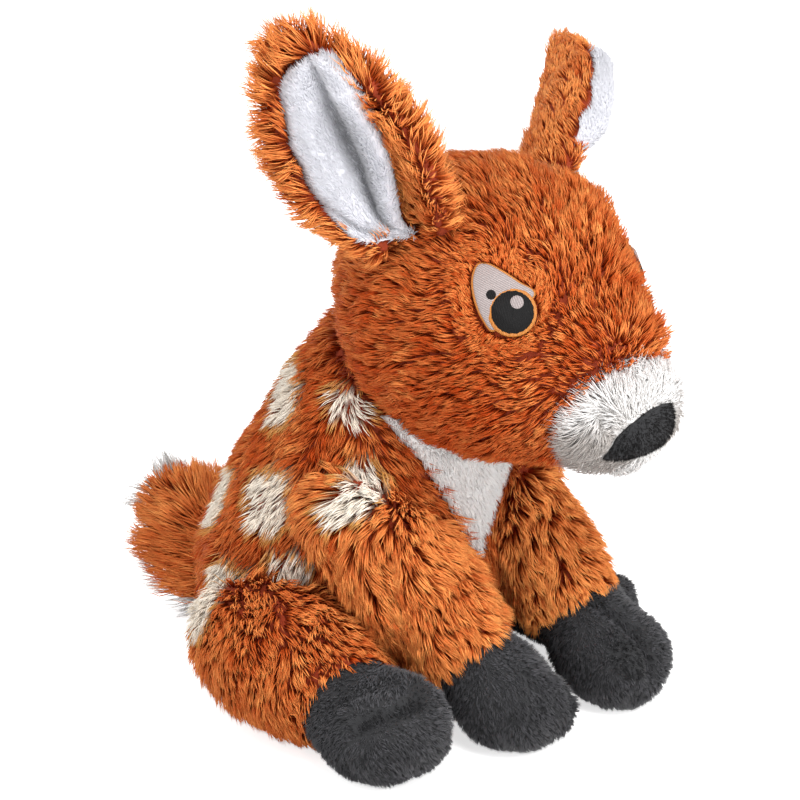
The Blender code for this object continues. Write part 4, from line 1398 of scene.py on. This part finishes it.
def dress_leg(leg, hoof, sizes, length, flow, lift, seed, extra):
    """One leg: a stuffed limb parted at its seam, long pile above it and short black pile below."""
    nodes = [f"{leg}_cover", f"{leg}_filling", f"{hoof}_cover", f"{hoof}_sole"]
    limb = stuffed(f"{leg}_skin", nodes, 0.0025, 5)
    slacken(limb, 0.0012)
    puffed(limb, 0.0018)
    press(limb, *extra.get("presses", ()))
    place, normal = seam_plane(f"{leg}_cover", f"{hoof}_cover")
    mitt = limb.copy()
    mitt.data = limb.data.copy()
    mitt.name = f"{hoof}_skin"
    bpy.context.scene.collection.objects.link(mitt)
    cut_at(limb, place, normal)
    cut_at(mitt, place, -normal)
    shape = HOOF_SHAPES[hoof]
    press(mitt, *shape["presses"])
    crease(mitt, shape["crease"], shape.get("width", CREASE_WIDTH), shape.get("depth", CREASE_DEPTH))
    body = leg
    dress(limb, rust_backing(), body, [f"{leg}_cover", f"{leg}_filling"])
    dress(mitt, black_backing(), body, [f"{hoof}_cover", f"{hoof}_sole"])
    seam = np.array(place)
    out = np.array(normal)

    def above(points, normals):
        return ((points - seam) @ out < -0.0004) & (points[:, 2] > 0.003)

    def below(points, normals):
        return ((points - seam) @ out > 0.0006) & (points[:, 2] > 0.0008)

    def fading(points, normals):
        back = -((points - seam) @ out)
        scale = 0.60 + 0.40 * np.clip(back / 0.012, 0, 1)
        return scale * extra["scale"](points, normals) if "scale" in extra else scale

    def lie_from_crease(points, normals):
        near, far = nearest_on_path(points, shape["crease"])
        close = np.exp(-((far / 0.012) ** 2))[:, None]
        return unit(points - near) * close * 1.5 + unit(points - seam) + np.array([0, 0, -0.3])

    def crease_shade_and_dark_patch(points, normals, tone):
        for centre, radius in shape["dark"]:
            far = np.linalg.norm(points - np.array(centre), axis=1) / radius
            tone = tone - 1.2 * smooth_step(1.1, 0.85, far)
        # Painted shade: the pile along the crease is darkened for the shadow in it.
        far = nearest_on_path(points, shape["crease"])[1]
        tone = tone - 0.9 * np.exp(-((far / 0.0034) ** 2))
        return PLAIN_BAND[0] + np.clip(tone, 0, 1) * (PLAIN_BAND[1] - PLAIN_BAND[0])

    pile = Pile(
        length, sizes.long_density * extra.get("density", 1.0), flow, lift,
        tone=extra.get("tone", rust_tone), scale=fading, bias=extra.get("bias", 0.0),
        tuft=extra.get("tuft", TUFT_STRANDS), pull=extra.get("pull", TUFT_PULL_SHARE),
        root=extra.get("root", STRAND_ROOT),
    )
    grow(f"{leg}_pile", limb, body, pile, rust_pile(), above, seed)

    def shallow(points, normals):
        return 1 - 0.45 * np.exp(-((nearest_on_path(points, shape["crease"])[1] / 0.005) ** 2))

    short = Pile(
        sizes.hoof, sizes.short_density * 1.35, lie_from_crease, 42, tone=crease_shade_and_dark_patch, scale=shallow,
        short=True, root=SHORT_STRAND_ROOT, gap=0.0008, tuft=6, pull=0.5, swirl=30, bias=0.05,
    )
    grow(f"{hoof}_pile", mitt, body, short, black_pile(), below, seed + 5)


class FAWN_OT_forelegs(bpy.types.Operator):
    """Forelegs with long light-tipped pile, and their black hooves"""

    bl_idname = "fawn.forelegs"
    bl_label = "Forelegs"

    def execute(self, context):
        sizes = context.scene.fawn_pile
        for side, mirror in SIDES:
            leg, hoof = f"{side}_foreleg", f"{side}_forehoof"
            start = joint_place(leg)
            down = unit((np.array(node_centre(f"{hoof}_cover")) - start)[None])[0]

            def lie(points, normals, down=down, mirror=mirror):
                top = smooth_step(0.078, 0.100, points[:, 2])[:, None]
                return down * (1 - top) + top * [mirror * 0.59, 0.42, -0.47] + normals * [0.3, 0.0, 0.0]

            # Painted light: the far (left) foreleg's pile takes lighter tones than the near one's, for the light it
            # loses in the head's shade.
            bias = 0.36 if mirror < 0 else 0.52
            extra = {"tone": spot_bands, "bias": bias, "density": 1.3, "tuft": 12, "pull": 0.68, "root": 0.00072}
            if mirror > 0:
                extra["presses"] = [
                    ((0.056, -0.070, 0.080), 0.030, (-0.0060, 0.0010, 0.0)),
                    ((0.054, -0.090, 0.055), 0.022, (-0.0035, 0.0010, 0.0)),
                ]
                extra["scale"] = lambda points, normals: 1 - 0.45 * smooth_step(0.035, 0.050, points[:, 0])
            dress_leg(leg, hoof, sizes, sizes.foreleg, lie, 34, 50 + mirror, extra)
        return {"FINISHED"}


class FAWN_OT_hindlegs(bpy.types.Operator):
    """Hind legs with round thighs, and their black hooves"""

    bl_idname = "fawn.hindlegs"
    bl_label = "Hind legs"

    def execute(self, context):
        sizes = context.scene.fawn_pile
        for side, mirror in SIDES:
            leg, hoof = f"{side}_hindleg", f"{side}_hindhoof"
            start = joint_place(leg)
            ahead = unit((np.array(node_centre(f"{hoof}_cover")) - start)[None])[0]

            def lie(points, normals, ahead=ahead):
                return np.tile(ahead + np.array([0, 0, -0.7]), (len(points), 1))

            def flat_below(points, normals):
                return 0.55 + 0.45 * smooth_step(0.004, 0.020, points[:, 2])

            extra = {"bias": 0.16, "scale": flat_below, "tone": hip_bands}
            dress_leg(leg, hoof, sizes, sizes.hindleg, lie, 34, 60 + mirror, extra)
        return {"FINISHED"}


class FAWN_OT_tail(bpy.types.Operator):
    """Two-faced tail: rust above, white below"""

    bl_idname = "fawn.tail"
    bl_label = "Tail"

    def execute(self, context):
        sizes = context.scene.fawn_pile
        seat = joint_place("tail")
        tip = np.array(node_centre("tail_top"))
        axis = unit((tip - seat)[None])[0]
        reach = max((np.array(v.co) - seat) @ axis for v in NODES["tail_top"].data.vertices)

        def lie(points, normals):
            offset = points - seat
            along = offset @ axis
            aside = offset - along[:, None] * axis
            return axis + unit(aside) * 0.3 + unit(aside * [1, 0, 0] + [1e-9, 0, 0]) * 0.45

        def shorter_at_tip(points, normals):
            aside = 1 + 0.45 * np.clip(-normals[:, 0], 0, 1)
            return aside * (0.95 - 0.48 * smooth_step(0.55, 1.0, (points - seat) @ axis / reach))

        def longer_below(points, normals):
            low = 0.7 * smooth_step(0.026, 0.012, points[:, 2])
            return 0.80 + 0.20 * smooth_step(0.4, 1.0, (points - seat) @ axis / reach) + low

        faces = (
            ("tail_top", rust_pile, "rust_pile", rust_backing, rust_tone, shorter_at_tip, 70),
            ("tail_underside", muzzle_pile, "white_pile", white_backing, None, longer_below, 75),
        )
        for node, material, slot, backing, tone, scale, seed in faces:
            skin = stuffed(f"{node}_skin", [node], 0.0018, 4)
            press(skin, ((0, 0.106, 0.042), 0.036, (0, 0.0040, 0.0040)))
            dress(skin, backing(), "tail", [node])
            other = "tail_underside" if node == "tail_top" else "tail_top"
            tree = tree_of([NODES[other]])

            def outer(points, normals, tree=tree):
                return distances(tree, points, 0.003) > 0.0012

            pile = Pile(sizes.tail, sizes.long_density * 1.2, lie, 30, tone=tone, scale=scale, bias=0.16)
            grow(f"{node}_pile", skin, "tail", pile, material(), outer, seed)
        return {"FINISHED"}


def camera_axes():
    """The camera's rightward, upward and backward directions."""
    back = Vector(
        (
            sin(CAMERA_AZIMUTH) * cos(CAMERA_ELEVATION),
            -cos(CAMERA_AZIMUTH) * cos(CAMERA_ELEVATION),
            sin(CAMERA_ELEVATION),
        )
    )
    right = Vector((cos(CAMERA_AZIMUTH), sin(CAMERA_AZIMUTH), 0))
    return right, back.cross(right), back


def add_area_light(name, place, power, size):
    bpy.ops.object.light_add(type="AREA", location=place)
    lamp = bpy.context.object
    lamp.name = name
    lamp.data.energy = power
    lamp.data.shape = "DISK"
    lamp.data.size = size
    lamp.rotation_euler = (CAMERA_TARGET - Vector(place)).to_track_quat("-Z", "Y").to_euler()
    return lamp


def floor_material(colour):
    """Matt paper: a little light of its own towards the camera makes it white and leaves the shadow."""
    material, tree, shader = new_material("matt_paper")
    shader.inputs["Base Color"].default_value = (*colour, 1)
    shader.inputs["Roughness"].default_value = 0.9
    shader.inputs["Specular IOR Level"].default_value = 0.1
    output = next(n for n in tree.nodes if n.type == "OUTPUT_MATERIAL")
    path = add_node(tree, "ShaderNodeLightPath")
    seen = add_node(tree, "ShaderNodeMath", {"operation": "MULTIPLY"}, {1: 0.68}, [(0, path, "Is Camera Ray")])
    glow = add_node(tree, "ShaderNodeEmission", inputs={"Color": (1, 1, 1, 1)}, links=[("Strength", seen, 0)])
    add = add_node(tree, "ShaderNodeAddShader", links=[(0, shader, "BSDF"), (1, glow, 0)])
    tree.links.new(add.outputs[0], output.inputs["Surface"])
    return material


class FAWN_OT_stage(bpy.types.Operator):
    """Floor, lights, world and the photograph's camera"""

    bl_idname = "fawn.stage"
    bl_label = "Stage"

    def execute(self, context):
        settings = context.scene.fawn_stage
        deselect_all()
        bpy.ops.mesh.primitive_plane_add(size=12, location=(0, 0, 0))
        floor = context.object
        floor.name = "floor"
        floor.data.materials.append(floor_material(settings.floor))
        right, _, back = camera_axes()
        target = CAMERA_TARGET
        add_area_light("key", target + back * 0.9 + right * 0.25 + Vector((0, 0, 0.85)), settings.key, 0.7)
        add_area_light("fill", target + back * 0.7 - right * 1.0 + Vector((0, 0, 0.35)), settings.fill * 0.9, 0.9)
        beside = target + back * 0.8 + right * 0.8 + Vector((0, 0, 0.05))
        add_area_light("front_fill", beside, settings.fill * 1.2, 0.8)
        add_area_light("back", target - back * 0.9 - right * 0.2 + Vector((0, 0, 1.0)), settings.back, 0.8)
        world = bpy.data.worlds.new("studio")
        world.use_nodes = True
        tree = world.node_tree
        tree.nodes.clear()
        path = add_node(tree, "ShaderNodeLightPath")
        shown = add_node(
            tree, "ShaderNodeMath", {"operation": "MAXIMUM"},
            links=[(0, path, "Is Camera Ray"), (1, path, "Is Transmission Ray")],
        )
        shown = add_node(
            tree, "ShaderNodeMath", {"operation": "MAXIMUM"}, links=[(0, shown, 0), (1, path, "Is Glossy Ray")]
        )
        light = add_node(tree, "ShaderNodeBackground", inputs={"Color": (1, 1, 1, 1), "Strength": settings.world})
        white = add_node(tree, "ShaderNodeBackground", inputs={"Color": (1, 1, 1, 1), "Strength": 1.0})
        mix = add_node(tree, "ShaderNodeMixShader", links=[(0, shown, 0), (1, light, 0), (2, white, 0)])
        add_node(tree, "ShaderNodeOutputWorld", links=[("Surface", mix, 0)])
        context.scene.world = world
        context.scene.view_settings.view_transform = "Standard"
        bpy.ops.object.camera_add()
        camera = context.object
        camera.name = "camera"
        camera.data.lens = CAMERA_LENS
        camera.data.sensor_width = CAMERA_SENSOR
        distance = CAMERA_LENS / CAMERA_SENSOR * PHOTO_WIDTH / PIXELS_PER_METRE
        camera.location = target + back * distance
        camera.rotation_euler = (-back).to_track_quat("-Z", "Y").to_euler()
        camera.data.clip_start = 0.01
        context.scene.camera = camera
        return {"FINISHED"}


class NosePatch:
    """The frame of the nose on the muzzle's front: across, up and forwards."""

    def __init__(self, tree):
        self.tree = tree

    def place(self, across, up, height):
        """The point of the muzzle behind a place seen from the front, raised by a height."""
        found = self.tree.ray_cast(Vector((across, -0.2, up)), Vector((0, 1, 0)))
        if found[0] is None:
            found = self.tree.find_nearest(Vector((across, -0.148, up)))
        return found[0] + found[1] * height


class Patch:
    """The frame of one eye: the middle of its pupil, its normal, upward and backward directions and its radius."""

    def __init__(self, side, mirror, head_tree):
        points = np.array([v.co for v in NODES[f"{side}_eye_pupil"].data.vertices])
        middle = (points.min(axis=0) + points.max(axis=0)) / 2
        normal = np.linalg.svd(points - points.mean(axis=0))[2][2]
        centre = np.array(node_centre("head_cover"))
        if normal @ (middle - centre) < 0:
            normal = -normal
        self.normal = Vector(normal)
        self.up = (Vector((0, 0, 1)) - self.normal * self.normal.z).normalized()
        self.back = self.up.cross(self.normal) * mirror
        spread = (points - middle) @ np.array(self.up)
        self.radius = (spread.max() - spread.min()) / 2
        self.middle = Vector(middle)
        self.tree = head_tree

    def place(self, back, up, height):
        """The point of the head under a place in the eye's plane, raised by a height."""
        start = self.middle + self.back * back + self.up * up + self.normal * 0.02
        found = self.tree.ray_cast(start, -self.normal)
        return found[0] + self.normal * height


def stitched(name, patch, outline, height, dome, pitch, turn, material, body, node):
    """A satin-stitched area: rings from its middle to its outline, crowned, ridged by its threads and closed below."""
    rings = 16
    outline = np.array(outline)
    middle = outline.mean(axis=0)
    count = len(outline)
    vertices, uv = [], []
    direction = np.array([cos(turn), sin(turn)])
    for r in range(rings + 1):
        share = r / rings
        for x, y in middle + (outline - middle) * share:
            ridge = abs(sin(pi * (np.array([x, y]) @ direction) / pitch))
            rise = height + dome * (1 - share**4) + 0.00012 * ridge * (1 - share**8)
            vertices.append(patch.place(x, y, rise))
            on_patch = np.array([x, y])
            uv.append(((on_patch @ direction) * 1000, (on_patch @ [-direction[1], direction[0]]) * 1000))
    for x, y in outline:
        vertices.append(patch.place(x, y, -0.0006))
        uv.append(uv[0])
    faces = []
    for r in range(rings + 1):
        for k in range(count):
            n = (k + 1) % count
            faces.append((r * count + k, r * count + n, (r + 1) * count + n, (r + 1) * count + k))
    faces.append(tuple(range((rings + 1) * count, (rings + 2) * count)))
    mesh = bpy.data.meshes.new(name)
    mesh.from_pydata(vertices, [], faces)
    layer = mesh.uv_layers.new(name="stitch")
    for loop in mesh.loops:
        layer.data[loop.index].uv = uv[loop.vertex_index]
    obj = bpy.data.objects.new(name, mesh)
    bpy.context.scene.collection.objects.link(obj)
    edit(
        obj,
        lambda: bpy.ops.mesh.remove_doubles(threshold=WELD),
        lambda: bpy.ops.mesh.normals_make_consistent(inside=False),
    )
    mesh.shade_smooth()
    return dress(obj, material, body, [node] if node in NODES else ())


def smooth_outline(points, count):
    """A closed smooth curve through a few points."""
    p = np.array(points, float)
    out = []
    n = len(p)
    for i in range(count):
        t = i / count * n
        k = int(t)
        f = t - k
        a, b, c, d = p[(k - 1) % n], p[k % n], p[(k + 1) % n], p[(k + 2) % n]
        out.append(0.5 * ((2 * b) + (c - a) * f + (2 * a - 5 * b + 4 * c - d) * f * f + (3 * b - a - 3 * c + d) * f**3))
    return out


def round_outline(radius, count=72, centre=(0, 0)):
    turns = [2 * pi * k / count for k in range(count)]
    return [(centre[0] + radius * cos(t), centre[1] + radius * sin(t)) for t in turns]


def eye_outlines(radius):
    """The outlines of an eye's white and of its ring, backwards and up from the middle of its packed pupil."""
    almond = smooth_outline([(x * radius, y * radius) for x, y in EYE_WHITE_SHARES], 88)
    return almond, round_outline(radius + RING_WIDTH, centre=PUPIL_SHIFT)


class FAWN_OT_eyes(bpy.types.Operator):
    """Satin-stitched eyes: almond, amber ring, pupil, highlight and corner dot"""

    bl_idname = "fawn.eyes"
    bl_label = "Eyes"

    def execute(self, context):
        c = context.scene.fawn_colours
        head = tree_of([NODES["head_cover"]])
        white = thread_material("rayon_thread_white", c.eye_white, 0.0006, 0.5, 0.3)
        black = thread_material("rayon_thread_black", c.pupil, 0.0006, 0.6, 0.15)
        amber = thread_material("rayon_thread_amber", c.amber, 0.0005, 0.4)
        for side, mirror in SIDES:
            patch = Patch(side, mirror, head)
            r = patch.radius
            almond, ring = eye_outlines(r)
            pupil = PUPIL_SHIFT
            highlight = (-0.0020, 0.0057)
            dot_place = (0.0073, 0.0087)
            middle = np.mean(almond, axis=0)
            arms = [np.array(q) - middle for q in almond]
            edge = [middle + arm * (1 + 0.0007 / np.linalg.norm(arm)) for arm in arms]
            areas = (
                ("outline", edge, 0.0009, 0.0003, 0.0007, 1.2, amber, "amber_thread"),
                ("white", almond, 0.0012, 0.0006, 0.0007, 1.2, white, "white_thread"),
                ("ring", ring, 0.0016, 0.0008, 0.0009, 0.0, amber, "amber_thread"),
                ("pupil", round_outline(r, centre=pupil), 0.0019, 0.0010, 0.0008, 0.2, black, "black_thread"),
                ("highlight", round_outline(0.0025, 40, highlight), 0.0029, 0.0004, 0.0006, 0.3, white, "white_thread"),
                ("corner_dot", round_outline(0.0019, 40, dot_place), 0.0018, 0.0004, 0.0006, 0.3, black, "black_thread"),
            )
            for area, outline, height, dome, pitch, turn, material, slot in areas:
                name = f"{side}_eye_{area}"
                stitched(f"{name}_stitches", patch, outline, height, dome, pitch, turn, material, "head", name)
        return {"FINISHED"}


class FAWN_PT_panel(bpy.types.Panel):
    """Lists the fawn's settings and its pieces"""

    bl_label = "Plush Fawn"
    bl_idname = "FAWN_PT_panel"
    bl_space_type = "VIEW_3D"
    bl_region_type = "UI"
    bl_category = "Fawn"

    def draw(self, context):
        layout = self.layout
        for group in ("fawn_pile", "fawn_colours", "fawn_stage"):
            settings = getattr(context.scene, group)
            box = layout.box()
            for key in settings.__annotations__:
                box.prop(settings, key)
        for operator in OPERATORS:
            layout.operator(operator.bl_idname)


OPERATORS = (
    FAWN_OT_stage,
    FAWN_OT_torso,
    FAWN_OT_eyes,
    FAWN_OT_head,
    FAWN_OT_muzzle,
    FAWN_OT_ears,
    FAWN_OT_forelegs,
    FAWN_OT_hindlegs,
    FAWN_OT_tail,
)
CLASSES = (FawnPileSettings, FawnColourSettings, FawnStageSettings, *OPERATORS, FAWN_PT_panel)


def register():
    for cls in CLASSES:
        bpy.utils.register_class(cls)
    bpy.types.Scene.fawn_pile = PointerProperty(type=FawnPileSettings)
    bpy.types.Scene.fawn_colours = PointerProperty(type=FawnColourSettings)
    bpy.types.Scene.fawn_stage = PointerProperty(type=FawnStageSettings)


def unregister():
    del bpy.types.Scene.fawn_pile
    del bpy.types.Scene.fawn_colours
    del bpy.types.Scene.fawn_stage
    for cls in reversed(CLASSES):
        bpy.utils.unregister_class(cls)


def main():
    register()
    bpy.ops.fawn.stage()
    bpy.ops.fawn.torso()
    bpy.ops.fawn.eyes()
    bpy.ops.fawn.head()
    bpy.ops.fawn.muzzle()
    bpy.ops.fawn.ears()
    bpy.ops.fawn.forelegs()
    bpy.ops.fawn.hindlegs()
    bpy.ops.fawn.tail()
    deselect_all()
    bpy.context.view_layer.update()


if __name__ == "__main__":
    main()
